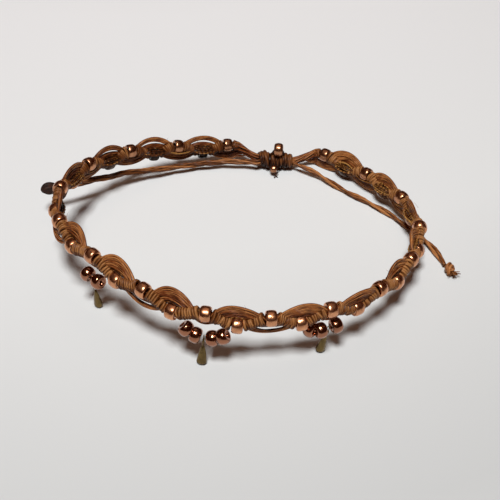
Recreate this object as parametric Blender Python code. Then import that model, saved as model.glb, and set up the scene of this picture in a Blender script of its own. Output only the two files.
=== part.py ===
"""Macrame bracelet: a wavy knotted cord band with metal beads, three beaded drops and a sliding knot.

The band is laid out on a closed, slightly uneven loop.  Distances along the loop are "run", the
direction square to the loop's plane is "rise" and the direction away from the wrist is "out".
All sizes are metres, +Z is up and the bracelet rests on the floor at z = 0.
"""
import math
from collections import namedtuple

import bmesh
import bpy
import numpy as np
from mathutils import Matrix, Vector

Dangle = namedtuple("Dangle", "crest depth fullness shift lean before after swing")

MM = 0.001
FULL_TURN = 2 * math.pi

# Loop of the bracelet as it lies: mean radius, waviness of the outline, and how high it is held.
# The waviness is in shares of the radius, and the rise and fall in shares of the height.
LOOP_RADIUS = 33.794 * MM
LOOP_SAMPLES = 2880
OUTLINE_COSINE = {2: -0.0502, 3: -0.0058, 4: 0.0193, 5: -0.0018, 6: -0.0063}
OUTLINE_SINE = {2: 0.0034, 3: -0.0257, 4: -0.0094, 5: -0.0016, 6: -0.0058}
LOOP_HEIGHT = 7.859 * MM
HEIGHT_COSINE = {1: -0.4423, 2: -0.1318, 3: -0.0181}
HEIGHT_SINE = {1: 0.3886, 2: 0.0425, 3: -0.0400}

# Repeat of the pattern: crests carry a bead on the upper edge, troughs one on the lower edge.  The
# crests share out the loop that the sliding knot and the room beside it leave, and their pitch
# varies round the loop by these shares of itself.
CREST_COUNT = 17
PITCH_COSINE = {1: -0.0119, 2: -0.0082, 3: 0.0245, 4: -0.0170}
PITCH_SINE = {1: 0.0040, 2: -0.0406, 3: 0.0227, 4: -0.0156}
WAVE_RISE = 0.80 * MM
KNOT_LENGTH = 9.4 * MM
KNOT_ROOM = 7.005 * MM
KNOT_PLACE = -7.632 * MM

# Beads and cord.
BEAD_DIAMETER = 3.0 * MM
BEAD_LENGTH = 2.0 * MM
BEAD_HOLE = 1.1 * MM
BEAD_RIM = 0.35 * MM
BEAD_SIDES = 10
CORD = 0.5 * MM
CLEARANCE = 0.3 * MM
SPINE_DIAMETER = 1.6 * MM
SPINE_SIDES = 6
STRAND_SIDES = 6

# Bundles of working cord, two cords side by side in each.  The leans tell how far the middle of
# each arch or swag sits out from the band, as shares of BOW_LEAN, from the left of the knot.
PAIR_HEIGHT = 2 * CORD
PAIR_AREA = PAIR_HEIGHT * 1.2 * CORD
BOW_LEAN = 1.0 * MM
ARCH_TOP = 3.40 * MM
ARCH_LEAN = (0.0, 0.3, 0.0, -0.3, -1.2, -1.2, -1.2, -1.3, -0.1, 0.2, 0.6, -1.0, -2.0, -1.0, 0.0, 0.6)
SWAG_FOOT = 2.70 * MM
SWAG_LEAN = (0.0, 0.0, 0.0, 0.2, 0.5, 0.8, 0.0, 0.0, 0.0, -0.5, 0.0, -1.2, -0.8, 0.0, 0.0, 0.0, 0.0)
HITCH_NEAR = 2.3 * MM
HITCH_FAR = 3.95 * MM
ARCH_SLIT = 0.40 * MM
SWAG_SLIT = 0.20 * MM
BUNDLE_FULLNESS = 0.75
OUTER_STEPS = 7
INNER_STEPS = 6

# Sliding knot at the back with its two beads.
KNOT_HEIGHT = 3.6 * MM
KNOT_THICKNESS = 3.6 * MM
KNOT_SIDES = 12
KNOT_STEPS = 6
STRAND_DIAMETER = 1.8 * MM
SHORT_SLOPE = 2.4 * MM
SMALL_BEAD_DIAMETER = 1.8 * MM
SMALL_BEAD_LENGTH = 1.4 * MM
SMALL_BEAD_HOLE = 0.7 * MM
KNOT_SAG_IN = 4.2 * MM
KNOT_SAG_DOWN = 0.9 * MM
KNOT_SAG_EDGE = 3.0
KNOT_SAG_POWER = 1.2
STRAND_DROP = 7.0 * MM
STRAND_STEPS = 6
LEVEL_LIMIT = 0.8
KNOT_END = 0.82
SMALL_BEAD_SHIFT = 0.1 * MM
SMALL_BEAD_DROP = 0.7 * MM
SMALL_BEAD_IN = 2.85 * MM
TOP_BEAD_SHIFT = 0.6 * MM
TOP_BEAD_TURN = math.radians(16)

# Strings of beads under three crests, each with a brass drop.  A string starts and ends
# STRING_REACH from its crest.  Each row gives the crest, how deep and how full the string sags,
# how far along the band its middle and how far out its first half sit, the beads before and after
# the drop, and how far the drop's foot swings across the floor, in shares of that reach.
STRING_BEAD_LENGTH = 2.0 * MM
STRING_REACH = 4.5 * MM
STRING_STEPS = 192
STRING_SIDES = 8
STRING_BEAD_GAP = 0.1 * MM
EYE_ROOM = 1.1 * MM
LIP = 0.04 * MM
DANGLES = {
    "left": Dangle(6, 1.244, 0.50, -0.178, 0.0, 1, 1, (0.067, 0.044)),
    "middle": Dangle(8, 1.244, 0.50, -0.133, 0.0, 2, 2, (-0.133, -0.200)),
    "right": Dangle(10, 0.978, 0.35, -0.622, -0.711, 2, 1, (-0.289, 0.0)),
}
WIRE = 0.4 * MM
EYE_INSIDE = 1.1 * MM
HANG_GAP = 0.2 * MM
EYE_SIDES = 8
WIRE_SIDES = 5
DROP_FOOT_DIAMETER = 1.65 * MM
DROP_NECK_DIAMETER = 0.50 * MM
DROP_FLARE = 0.7
DROP_LENGTH = 4.4 * MM
DROP_SIDES = 8
DROP_STATIONS = (0.0, 0.2, 0.45, 0.7, 0.88, 0.96, 1.0)
DROP_TIP = 0.6

# Loose tails out of the knot, twisted of several cords: their course in mm, heights from the floor.
TAIL_DIAMETER = 1.4 * MM
TAIL_RESOLUTION = 2
TAIL_SPACING = 3.2 * MM
RIGHT_TAIL = (
    (12.1, 26.7, 2.0), (14.4, 25.4, 1.8), (17.8, 22.9, 1.2), (21.5, 19.3, 0.8), (25.7, 15.5, 0.75),
    (30.1, 11.4, 0.75), (35.1, 5.0, 0.75), (38.2, 0.3, 0.75), (40.7, -6.8, 0.75),
)
LEFT_TAIL = (
    (2.6, 27.4, 2.2), (0.0, 27.8, 2.1), (-4.2, 28.1, 1.9), (-10.4, 27.3, 1.8), (-20.1, 24.0, 2.6),
    (-25.3, 21.7, 3.5), (-31.3, 17.5, 4.8), (-37.3, 13.6, 6.0), (-39.8, 12.2, 6.4),
)
KNOB_LENGTH = 3.0 * MM
KNOB_DIAMETER = 2.6 * MM
TUFT_LENGTH = 2.6 * MM
TUFT_DIAMETER = 2.2 * MM
END_STEPS = 5
FLOOR_GAP = 0.05 * MM

# Finishes as linear colour, metallic share and roughness.
WAXED_CORD = ((0.30, 0.12, 0.045), 0.0, 0.55)
COPPER = ((0.62, 0.30, 0.17), 1.0, 0.25)
ANTIQUE_BRASS = ((0.35, 0.28, 0.11), 1.0, 0.40)


def centre_line():
    """Closed centre line of the band, its run, its outward directions and the rise direction."""
    turn = np.linspace(0.0, FULL_TURN, LOOP_SAMPLES + 1)
    ripple = sum(a * np.cos(k * turn) for k, a in OUTLINE_COSINE.items())
    ripple = ripple + sum(a * np.sin(k * turn) for k, a in OUTLINE_SINE.items())
    radius = LOOP_RADIUS * (1.0 + ripple)
    lift = sum(a * np.cos(k * turn) for k, a in HEIGHT_COSINE.items())
    lift = lift + sum(a * np.sin(k * turn) for k, a in HEIGHT_SINE.items())
    height = LOOP_HEIGHT * (1.0 + lift)
    line = np.stack([-radius * np.sin(turn), radius * np.cos(turn), height], axis=1)
    step = np.diff(line[:, :2], axis=0)
    run = np.concatenate([[0.0], np.cumsum(np.hypot(step[:, 0], step[:, 1]))])
    tilt = LOOP_HEIGHT / LOOP_RADIUS
    rise = np.array([HEIGHT_SINE[1] * tilt, -HEIGHT_COSINE[1] * tilt, 1.0])
    rise /= np.linalg.norm(rise)
    along = np.roll(line[:-1], -1, axis=0) - np.roll(line[:-1], 1, axis=0)
    out = np.cross(along, rise) * -1.0
    out /= np.linalg.norm(out, axis=1)[:, None]
    if float(np.sum(out[:, :2] * line[:-1, :2])) < 0:
        out = -out
    return line, run, np.vstack([out, out[:1]]), rise


LINE, RUN, OUT, RISE = centre_line()
LOOP_LENGTH = float(RUN[-1])
GAP_REACH = KNOT_LENGTH / 2 + KNOT_ROOM


def crest_runs():
    """Run of every crest bead, from the left of the sliding knot round to its right."""
    place = np.arange(CREST_COUNT - 1) + 0.5
    turn = FULL_TURN * place / CREST_COUNT
    share = 1.0 + sum(a * np.cos(k * turn) for k, a in PITCH_COSINE.items())
    share = share + sum(a * np.sin(k * turn) for k, a in PITCH_SINE.items())
    pitch = share * (LOOP_LENGTH - 2 * GAP_REACH) / np.sum(share)
    return KNOT_PLACE + GAP_REACH + np.concatenate([[0.0], np.cumsum(pitch)])


CRESTS = crest_runs()
TROUGHS = (CRESTS[1:] + CRESTS[:-1]) / 2


def knot_share(run):
    """1 at the middle of the sliding knot, falling to 0 short of the crest beads beside it."""
    away = (run - KNOT_PLACE + LOOP_LENGTH / 2) % LOOP_LENGTH - LOOP_LENGTH / 2
    share = np.abs(away) / (GAP_REACH - SHORT_SLOPE)
    return np.clip(1.0 - share**KNOT_SAG_EDGE, 0.0, 1.0) ** KNOT_SAG_POWER


def place(run, rise=0.0, out=0.0):
    """Points at a run along the band, a rise across it and a distance out from it."""
    run = np.atleast_1d(np.asarray(run, dtype=float))
    wrapped = run % LOOP_LENGTH
    base = np.stack([np.interp(wrapped, RUN, LINE[:, i]) for i in range(3)], axis=1)
    away = outward(run)
    sag = knot_share(run)
    base = base - away * (KNOT_SAG_IN * sag)[:, None] - RISE * (KNOT_SAG_DOWN * sag)[:, None]
    rise = np.broadcast_to(np.asarray(rise, dtype=float), run.shape)
    out = np.broadcast_to(np.asarray(out, dtype=float), run.shape)
    return base + RISE * rise[:, None] + away * out[:, None]


def outward(run):
    """Unit directions away from the wrist at a run along the band."""
    wrapped = np.atleast_1d(np.asarray(run, dtype=float)) % LOOP_LENGTH
    away = np.stack([np.interp(wrapped, RUN, OUT[:, i]) for i in range(3)], axis=1)
    return away / np.linalg.norm(away, axis=1)[:, None]


def spine_rise(run):
    """Rise of the wrapped spine: a wave through crests and troughs, level at the sliding knot."""
    run = np.atleast_1d(np.asarray(run, dtype=float))
    beads = np.sort(np.concatenate([CRESTS, TROUGHS]))
    phase = np.interp(run, beads, np.arange(len(beads)))
    wave = WAVE_RISE * np.cos(phase * math.pi)
    left = np.clip((CRESTS[0] - run) / STRAND_DROP, 0.0, 1.0)
    right = np.clip((run - CRESTS[-1]) / STRAND_DROP, 0.0, 1.0)
    return wave - WAVE_RISE * (1.0 - np.cos(math.pi * np.maximum(left, right))) / 2


def unit(vectors):
    """Rows scaled to length one."""
    return vectors / np.linalg.norm(vectors, axis=1)[:, None]


def directions(points, closed=False):
    """Unit tangents of a row of points."""
    if closed:
        return unit(np.roll(points, -1, axis=0) - np.roll(points, 1, axis=0))
    return unit(np.gradient(points, axis=0))


def sweep(name, centres, side, up, half_side, half_up, count, closed=False):
    """Mesh of rings round centres; half sizes along side and up give each ring's ellipse."""
    angle = FULL_TURN * (np.arange(count) + 0.5) / count
    half_side = np.broadcast_to(np.asarray(half_side, dtype=float), len(centres))
    half_up = np.broadcast_to(np.asarray(half_up, dtype=float), len(centres))
    ring = (
        centres[:, None, :]
        + side[:, None, :] * (half_side[:, None] * np.cos(angle))[..., None]
        + up[:, None, :] * (half_up[:, None] * np.sin(angle))[..., None]
    )
    rows = len(centres)
    faces = []
    for i in range(rows if closed else rows - 1):
        a, b = i * count, ((i + 1) % rows) * count
        faces += [(a + j, a + (j + 1) % count, b + (j + 1) % count, b + j) for j in range(count)]
    if not closed:
        faces.append(tuple(range(count))[::-1])
        faces.append(tuple((rows - 1) * count + j for j in range(count)))
    return solid(name, ring.reshape(-1, 3), faces)


def solid(name, corners, faces):
    """Object from corners and faces, with every face turned outward."""
    mesh = bpy.data.meshes.new(name)
    mesh.from_pydata([Vector(c) for c in corners], [], faces)
    shape = bmesh.new()
    shape.from_mesh(mesh)
    bmesh.ops.recalc_face_normals(shape, faces=shape.faces)
    if shape.calc_volume(signed=True) < 0:
        bmesh.ops.reverse_faces(shape, faces=shape.faces)
    shape.to_mesh(mesh)
    shape.free()
    return bpy.data.objects.new(name, mesh)


def joined(name, objects):
    """One object holding the meshes of several separate ones."""
    shape = bmesh.new()
    for item in objects:
        shape.from_mesh(item.data)
        bpy.data.objects.remove(item, do_unlink=True)
    mesh = bpy.data.meshes.new(name)
    shape.to_mesh(mesh)
    shape.free()
    return bpy.data.objects.new(name, mesh)


def fused(body, tool):
    """Body united with a cutter object, as one closed solid."""
    bracelet.objects.link(body)
    cutters.objects.link(tool)
    tool.display_type = "WIRE"
    union = body.modifiers.new("Union", "BOOLEAN")
    union.operation = "UNION"
    union.solver = "EXACT"
    union.object = tool
    union.use_self = False
    bpy.context.view_layer.update()
    evaluated = body.evaluated_get(bpy.context.evaluated_depsgraph_get())
    mesh = bpy.data.meshes.new_from_object(evaluated)
    body.modifiers.clear()
    body.data = mesh
    bracelet.objects.unlink(body)
    bpy.data.objects.remove(tool, do_unlink=True)
    return body


def turned(name, centre, axis, offsets, radii, count, closed):
    """Turned shape about an axis through a centre: rings at offsets along it with these radii."""
    axis = np.asarray(axis) / np.linalg.norm(axis)
    across = np.cross(axis, RISE if abs(float(np.dot(axis, RISE))) < LEVEL_LIMIT else OUT[0])
    across /= np.linalg.norm(across)
    over = np.cross(axis, across)
    rows = len(offsets)
    centres = np.asarray(centre) + np.outer(offsets, axis)
    side = np.repeat(across[None], rows, axis=0)
    up = np.repeat(over[None], rows, axis=0)
    return sweep(name, centres, side, up, radii, radii, count, closed)


def bead(name, centre, axis, diameter, length, hole):
    """Drilled round bead with rounded rims."""
    radius, half = diameter / 2, length / 2
    rim = BEAD_RIM * diameter / BEAD_DIAMETER
    offsets = [-half, -half + rim, half - rim, half, half, -half]
    radii = [radius - rim, radius, radius, radius - rim, hole / 2, hole / 2]
    return turned(name, centre, axis, offsets, radii, BEAD_SIDES, closed=True)


def band_beads():
    """Crest and trough beads threaded on the spine."""
    made = []
    for kind, runs, rise in (("crest", CRESTS, WAVE_RISE), ("trough", TROUGHS, -WAVE_RISE)):
        centres = place(runs, rise)
        ahead = place(runs + BEAD_LENGTH / 2, rise) - place(runs - BEAD_LENGTH / 2, rise)
        for number, (centre, axis) in enumerate(zip(centres, ahead), start=1):
            name = f"{kind}_bead_{number:02d}"
            made.append(bead(name, centre, axis, BEAD_DIAMETER, BEAD_LENGTH, BEAD_HOLE))
    return made


def spine():
    """Closed wavy core: one cord through the beads, wrapped thick with knots between them."""
    beads = np.sort(np.concatenate([CRESTS, TROUGHS]))
    shoulder = BEAD_LENGTH / 2 + CLEARANCE
    lip = shoulder + CORD / 2
    runs, radii = [], []

    def stations(steps, radius):
        runs.extend(steps)
        radii.extend([radius] * len(steps))

    for here, after in zip(beads[:-1], beads[1:]):
        stations([here + shoulder], CORD / 2)
        stations([here + lip, after - lip], SPINE_DIAMETER / 2)
        stations([after - shoulder], CORD / 2)
    stations([beads[-1] + shoulder], CORD / 2)
    stations([beads[-1] + lip, beads[-1] + SHORT_SLOPE], SPINE_DIAMETER / 2)
    start, end = beads[-1] + SHORT_SLOPE, beads[0] + LOOP_LENGTH - SHORT_SLOPE
    inside = np.linspace(start, end, STRAND_STEPS + 2)[1:-1]
    stations(list(inside), STRAND_DIAMETER / 2)
    stations([end, beads[0] + LOOP_LENGTH - lip], SPINE_DIAMETER / 2)
    stations([beads[0] + LOOP_LENGTH - shoulder], CORD / 2)
    runs = np.array(runs)
    back = np.where(runs > CRESTS[-1] + GAP_REACH, runs - LOOP_LENGTH, runs)
    centres = place(runs, spine_rise(back))
    along = directions(centres, closed=True)
    out = outward(runs)
    up = unit(np.cross(along, out))
    side = unit(np.cross(up, along))
    return sweep("knotted_band", centres, side, up, radii, radii, SPINE_SIDES, closed=True)


def bundle(middle, reach, edge, height, steps, lean):
    """Flat bundle of two cords from the spine past a bead and back, out to an edge above or below."""
    share = -np.cos(np.linspace(0.0, math.pi, steps))
    runs = middle + share * reach
    base = np.interp(share, [-1.0, 1.0], spine_rise([middle - reach, middle + reach]))
    top = edge - math.copysign(height / 2, edge)
    bow = (1.0 - share**2) ** BUNDLE_FULLNESS
    centres = place(runs, base + (top - base) * bow, lean * BOW_LEAN * bow)
    along = directions(centres)
    out = outward(runs)
    up = unit(np.cross(along, out))
    thickness = PAIR_AREA / height
    return sweep("bundle", centres, out, up, thickness / 2, height / 2, STRAND_SIDES)


def knotted_band():
    """Spine united with the arching bundles above it and the sagging ones below it."""
    body = spine()
    arch = ARCH_TOP - PAIR_HEIGHT - ARCH_SLIT
    swag = -(SWAG_FOOT - PAIR_HEIGHT - SWAG_SLIT)
    hung = {dangle.crest for dangle in DANGLES.values()}
    arches = list(zip(TROUGHS, ARCH_LEAN))
    swags = list(zip(CRESTS, SWAG_LEAN))
    free = [pair for i, pair in enumerate(swags) if i not in hung]
    near = HITCH_NEAR / HITCH_FAR
    rows = (
        [bundle(t, HITCH_FAR, ARCH_TOP, PAIR_HEIGHT, OUTER_STEPS, n) for t, n in arches],
        [bundle(t, HITCH_NEAR, arch, PAIR_HEIGHT, INNER_STEPS, n * near) for t, n in arches],
        [bundle(c, HITCH_FAR, -SWAG_FOOT, PAIR_HEIGHT, OUTER_STEPS, n) for c, n in free],
        [bundle(c, HITCH_NEAR, swag, CORD, INNER_STEPS, n * near) for c, n in swags[1:-1]],
    )
    for row in rows:
        body = fused(body, joined("bundles", row))
    return body


def sliding_knot():
    """Curved barrel of square knots, open down the middle for the strands of the band."""
    half = KNOT_LENGTH / 2
    share = np.linspace(-1.0, 1.0, KNOT_STEPS)
    runs = KNOT_PLACE + half * np.concatenate([share, share[::-1]])
    centres = place(runs)
    out = outward(runs)
    along = directions(place(KNOT_PLACE + half * np.linspace(-1.0, 1.0, KNOT_STEPS)))
    up = unit(np.cross(np.vstack([along, along[::-1]]), out))
    swell = KNOT_END + (1.0 - KNOT_END) * (1.0 - share**2) ** KNOT_SAG_POWER
    bore = np.full(KNOT_STEPS, STRAND_DIAMETER / 2 + CLEARANCE)
    half_out = np.concatenate([swell * KNOT_THICKNESS / 2, bore])
    half_up = np.concatenate([swell * KNOT_HEIGHT / 2, bore])
    return sweep("sliding_knot", centres, out, up, half_out, half_up, KNOT_SIDES, closed=True)


def knot_beads():
    """Bead on top of the sliding knot and the small one on its inner side near the floor."""
    axis = place(KNOT_PLACE + KNOT_LENGTH / 2)[0] - place(KNOT_PLACE - KNOT_LENGTH / 2)[0]
    far = KNOT_HEIGHT / 2 + CLEARANCE / 2 + BEAD_DIAMETER / 2
    turn = TOP_BEAD_TURN
    top = place(KNOT_PLACE - TOP_BEAD_SHIFT, far * math.cos(turn), -far * math.sin(turn))[0]
    low = place(KNOT_PLACE + SMALL_BEAD_SHIFT, -SMALL_BEAD_DROP, -SMALL_BEAD_IN)[0]
    return [
        bead("knot_bead_top", top, axis, BEAD_DIAMETER, BEAD_LENGTH, BEAD_HOLE),
        bead("knot_bead_low", low, axis, SMALL_BEAD_DIAMETER, SMALL_BEAD_LENGTH, SMALL_BEAD_HOLE),
    ]


def string_line(dangle):
    """Sagging line of a bead string between the two slopes beside a crest."""
    share = -np.cos(np.linspace(0.0, math.pi, STRING_STEPS + 1))
    crest = CRESTS[dangle.crest]
    ends = crest + np.array([-STRING_REACH, STRING_REACH])
    turn = crest + dangle.shift * STRING_REACH
    runs = np.interp(share, [-1.0, 0.0, 1.0], [ends[0], turn, ends[1]])
    base = np.interp(runs, ends, spine_rise(ends) - SPINE_DIAMETER / 2 - CLEARANCE)
    low = WAVE_RISE - dangle.depth * STRING_REACH
    hang = (low - base) * np.clip(1.0 - share**2, 0.0, 1.0) ** dangle.fullness
    line = place(runs, base, dangle.lean * STRING_REACH * np.clip(-share, 0.0, 1.0))
    return line + np.outer(hang, [0.0, 0.0, 1.0])


def bead_string(side):
    """Thread with its beads fused on, and the point on it where the brass drop hangs."""
    dangle = DANGLES[side]
    line = string_line(dangle)
    length = np.concatenate([[0.0], np.cumsum(np.linalg.norm(np.diff(line, axis=0), axis=1))])
    middle = float(length[np.argmin(line[:, 2])])
    pitch = STRING_BEAD_LENGTH + STRING_BEAD_GAP
    first = EYE_ROOM / 2 + STRING_BEAD_LENGTH / 2
    centres = [middle - first - pitch * i for i in range(dangle.before)]
    centres += [middle + first + pitch * i for i in range(dangle.after)]
    half, rim, full = STRING_BEAD_LENGTH / 2, BEAD_RIM * 1.6, BEAD_DIAMETER / 2
    rows = [(0.0, CORD / 2), (float(length[-1]), CORD / 2), (middle, CORD / 2)]
    for c in centres:
        rows += [(c - half, CORD / 2), (c + half, CORD / 2), (c, full)]
        rows += [(c - half + LIP, full - rim), (c + half - LIP, full - rim)]
        rows += [(c - half + rim, full - LIP), (c + half - rim, full - LIP)]
    rows.sort()
    at, radii = np.array(rows).T
    spots = np.stack([np.interp(at, length, line[:, i]) for i in range(3)], axis=1)
    smooth = directions(line)
    along = unit(np.stack([np.interp(at, length, smooth[:, i]) for i in range(3)], axis=1))
    out = np.repeat(outward(CRESTS[dangle.crest]), len(at), axis=0)
    up = unit(np.cross(along, out))
    body = sweep(f"bead_string_{side}", spots, unit(np.cross(up, along)), up, radii, radii,
                 STRING_SIDES)
    hook = np.array([np.interp(middle, length, line[:, i]) for i in range(3)])
    return body, hook, along[int(np.argmin(np.abs(at - middle)))]


def drop(side, hook, thread, floor):
    """Paddle-shaped brass drop on a wire eye round the thread, its foot on the floor."""
    ring = EYE_INSIDE / 2 + WIRE / 2
    swing = STRING_REACH * np.array([*DANGLES[side].swing, 0.0])
    foot = np.array([hook[0], hook[1], floor]) + swing
    down = foot - hook
    down /= np.linalg.norm(down)
    middle = hook + down * (EYE_INSIDE / 2 - CORD / 2 - HANG_GAP)
    neck = ring - WIRE / 2
    reach = float(np.dot(foot - middle, down))
    offsets = neck + (reach - neck) * np.array(DROP_STATIONS)
    share = np.clip(1.0 - (reach - offsets) / DROP_LENGTH, 0.0, 1.0) ** DROP_FLARE
    radii = (DROP_NECK_DIAMETER + (DROP_FOOT_DIAMETER - DROP_NECK_DIAMETER) * share) / 2
    radii[-1] *= DROP_TIP
    offsets[-1] -= float(np.linalg.norm(swing)) * radii[-1] / reach
    body = turned(f"brass_drop_{side}", middle, down, offsets, radii, DROP_SIDES, closed=False)
    turn = FULL_TURN * np.arange(EYE_SIDES) / EYE_SIDES
    level = np.cross(thread, down)
    level /= np.linalg.norm(level)
    spots = middle + np.outer(np.cos(turn), level) * ring + np.outer(np.sin(turn), down) * ring
    face = np.cross(level, down)
    side_axis = np.repeat(face[None], EYE_SIDES, axis=0)
    eye = sweep("eye", spots, side_axis, unit(spots - middle), WIRE / 2, WIRE / 2, WIRE_SIDES,
                closed=True)
    return fused(body, eye)


def tail(name, course, floor):
    """Loose twisted cord along its course, as a bevelled curve."""
    points = np.array(course) * MM + (0.0, 0.0, floor)
    length = np.concatenate([[0.0], np.cumsum(np.linalg.norm(np.diff(points, axis=0), axis=1))])
    count = max(4, round(float(length[-1]) / TAIL_SPACING))
    at = np.linspace(0.0, length[-1], count)
    curve = bpy.data.curves.new(name, "CURVE")
    curve.dimensions = "3D"
    curve.bevel_depth = TAIL_DIAMETER / 2
    curve.bevel_resolution = TAIL_RESOLUTION
    curve.use_fill_caps = True
    spline = curve.splines.new("POLY")
    spline.points.add(count - 1)
    for point, spot in zip(spline.points, smooth_course(points, length, at)):
        point.co = (*spot, 1.0)
    return bpy.data.objects.new(name, curve)


def smooth_course(points, length, at):
    """Points of a smooth curve through the course at given distances along it."""
    slope = np.gradient(points, length, axis=0)
    spots = []
    for distance in at:
        i = min(int(np.searchsorted(length, distance, side="right")) - 1, len(points) - 2)
        span = length[i + 1] - length[i]
        t = (distance - length[i]) / span
        a, b = points[i], points[i + 1]
        ease = t * t * (3 - 2 * t)
        lead = slope[i] * (t * (1 - t) ** 2) - slope[i + 1] * (t * t * (1 - t))
        spots.append(a + (b - a) * ease + lead * span)
    return np.array(spots)


def tail_end(name, course, floor, length, diameter):
    """Knot or melted knob just past the end of a tail."""
    points = np.array(course) * MM + (0.0, 0.0, floor)
    axis = points[-1] - points[-2]
    axis /= np.linalg.norm(axis)
    centre = points[-1] + axis * (length / 2 + CLEARANCE)
    centre[2] = max(centre[2], floor + diameter / 2 + FLOOR_GAP)
    share = -np.cos(np.linspace(0.0, math.pi, END_STEPS + 2))[1:-1]
    radii = diameter / 2 * np.sqrt(1.0 - share**2)
    return turned(name, centre, axis, share * length / 2, radii, BEAD_SIDES, closed=False)


def painted(item, finish):
    """Own plain material of a named finish on an object."""
    colour, metallic, roughness = finish
    material = bpy.data.materials.new(f"{item.name}_finish")
    material.use_nodes = True
    shader = next(n for n in material.node_tree.nodes if n.type == "BSDF_PRINCIPLED")
    shader.inputs["Base Color"].default_value = (*colour, 1.0)
    shader.inputs["Metallic"].default_value = metallic
    shader.inputs["Roughness"].default_value = roughness
    item.data.materials.clear()
    item.data.materials.append(material)


def finish_of(name):
    """Finish for an object by what it is made of."""
    if name.startswith("brass"):
        return ANTIQUE_BRASS
    if "bead" in name:
        return COPPER
    return WAXED_CORD


def main():
    """Build every piece and put them in the bracelet's collection, resting on the floor."""
    band = knotted_band()
    floor = min(v.co.z for v in band.data.vertices)
    pieces = [band, *band_beads(), sliding_knot(), *knot_beads()]
    for side in DANGLES:
        string, hook, thread = bead_string(side)
        pieces += [string, drop(side, hook, thread, floor)]
    loose = [
        tail("left_tail", LEFT_TAIL, floor),
        tail("right_tail", RIGHT_TAIL, floor),
        tail_end("left_tail_knob", LEFT_TAIL, floor, KNOB_LENGTH, KNOB_DIAMETER),
        tail_end("right_tail_knot", RIGHT_TAIL, floor, TUFT_LENGTH, TUFT_DIAMETER),
    ]
    corners = np.array([v.co for item in pieces for v in item.data.vertices])
    low, high = corners.min(axis=0), corners.max(axis=0)
    shift = Vector((-(low[0] + high[0]) / 2, -(low[1] + high[1]) / 2, -low[2]))
    for item in pieces + loose:
        if item.type == "MESH":
            item.data.transform(Matrix.Translation(shift))
        else:
            for point in item.data.splines[0].points:
                point.co = (*(Vector(point.co[:3]) + shift), 1.0)
        painted(item, finish_of(item.name))
        bracelet.objects.link(item)


for existing in list(bpy.data.objects):
    bpy.data.objects.remove(existing, do_unlink=True)
bracelet = bpy.data.collections.new("macrame_bracelet")
bpy.context.scene.collection.children.link(bracelet)
cutters = bpy.data.collections.new("cutters")
cutters.hide_render = True
bpy.context.scene.collection.children.link(cutters)
main()
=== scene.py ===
import logging
import math
from dataclasses import dataclass, field
from enum import Enum
from typing import Any, Iterable, Sequence

import bpy
import numpy as np
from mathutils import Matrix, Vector


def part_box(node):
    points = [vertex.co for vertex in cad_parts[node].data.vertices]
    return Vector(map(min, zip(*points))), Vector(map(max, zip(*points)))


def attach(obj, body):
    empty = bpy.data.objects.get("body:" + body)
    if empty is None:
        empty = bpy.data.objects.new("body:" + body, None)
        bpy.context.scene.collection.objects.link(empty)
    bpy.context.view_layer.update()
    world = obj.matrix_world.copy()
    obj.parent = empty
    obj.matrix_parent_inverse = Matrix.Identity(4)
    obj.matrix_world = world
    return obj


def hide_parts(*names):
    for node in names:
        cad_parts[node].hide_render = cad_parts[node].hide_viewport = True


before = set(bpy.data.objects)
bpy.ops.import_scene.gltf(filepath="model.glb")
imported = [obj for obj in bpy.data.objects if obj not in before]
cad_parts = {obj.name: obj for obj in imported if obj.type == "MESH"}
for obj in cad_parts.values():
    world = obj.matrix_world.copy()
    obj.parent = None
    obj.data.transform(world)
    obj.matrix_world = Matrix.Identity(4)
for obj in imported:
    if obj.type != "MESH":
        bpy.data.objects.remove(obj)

"""Looks of a macrame bracelet: waxed cord knotted round a wavy carrier, metal beads, brass drops.

The band follows a closed, slightly uneven loop.  "Run" is the distance along it, "rise" the
direction square to the loop's plane and "out" the direction away from the wrist.  Lengths are
metres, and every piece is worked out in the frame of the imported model.
"""

log = logging.getLogger("macrame_bracelet")

MM = 0.001
TURN = 2.0 * math.pi
UP = np.array([0.0, 0.0, 1.0])
Array = np.ndarray
Object = bpy.types.Object
Material = bpy.types.Material
Tree = bpy.types.NodeTree

MATH = "ShaderNodeMath"
NOISE = "ShaderNodeTexNoise"
TIMES = {"operation": "MULTIPLY"}
SUM = {"operation": "MULTIPLY_ADD"}
SINE = {"operation": "SINE"}


def unit(vectors: Array) -> Array:
    """Vectors along the last axis scaled to length one."""
    return vectors / np.maximum(np.linalg.norm(vectors, axis=-1, keepdims=True), 1e-12)


def measured(paths: Array) -> Array:
    """Distances along rows of points, each from the start of its row."""
    step = np.linalg.norm(np.diff(paths, axis=-2), axis=-1)
    return np.concatenate([np.zeros_like(step[..., :1]), np.cumsum(step, axis=-1)], axis=-1)


def sampled(at: Array | float, places: Array, values: Array) -> Array:
    """Rows of values read off between the places that they stand at."""
    return np.stack([np.interp(at, places, column) for column in values.T], axis=-1)


def circle(count: int) -> Array:
    """Even angles round a full turn."""
    return TURN * np.arange(count) / count


def eased(count: int) -> Array:
    """Shares from -1 to 1 by a cosine, so that they crowd at both ends."""
    return -np.cos(np.linspace(0.0, math.pi, count))


def series(turn: Array, waves: Sequence[tuple[int, float, float]]) -> Array:
    """Sum of a cos(k turn) + b sin(k turn) over rows of (k, a, b)."""
    return (sum(a * np.cos(k * turn) for k, a, _ in waves)
            + sum(b * np.sin(k * turn) for k, _, b in waves))


def signed_power(values: Array, power: float) -> Array:
    """Sizes to a power, with their signs kept."""
    return np.sign(values) * np.abs(values) ** power


def middle_of(solid: str) -> Array:
    """Middle of a solid's box."""
    return np.mean(np.array(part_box(solid)), axis=0)


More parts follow.
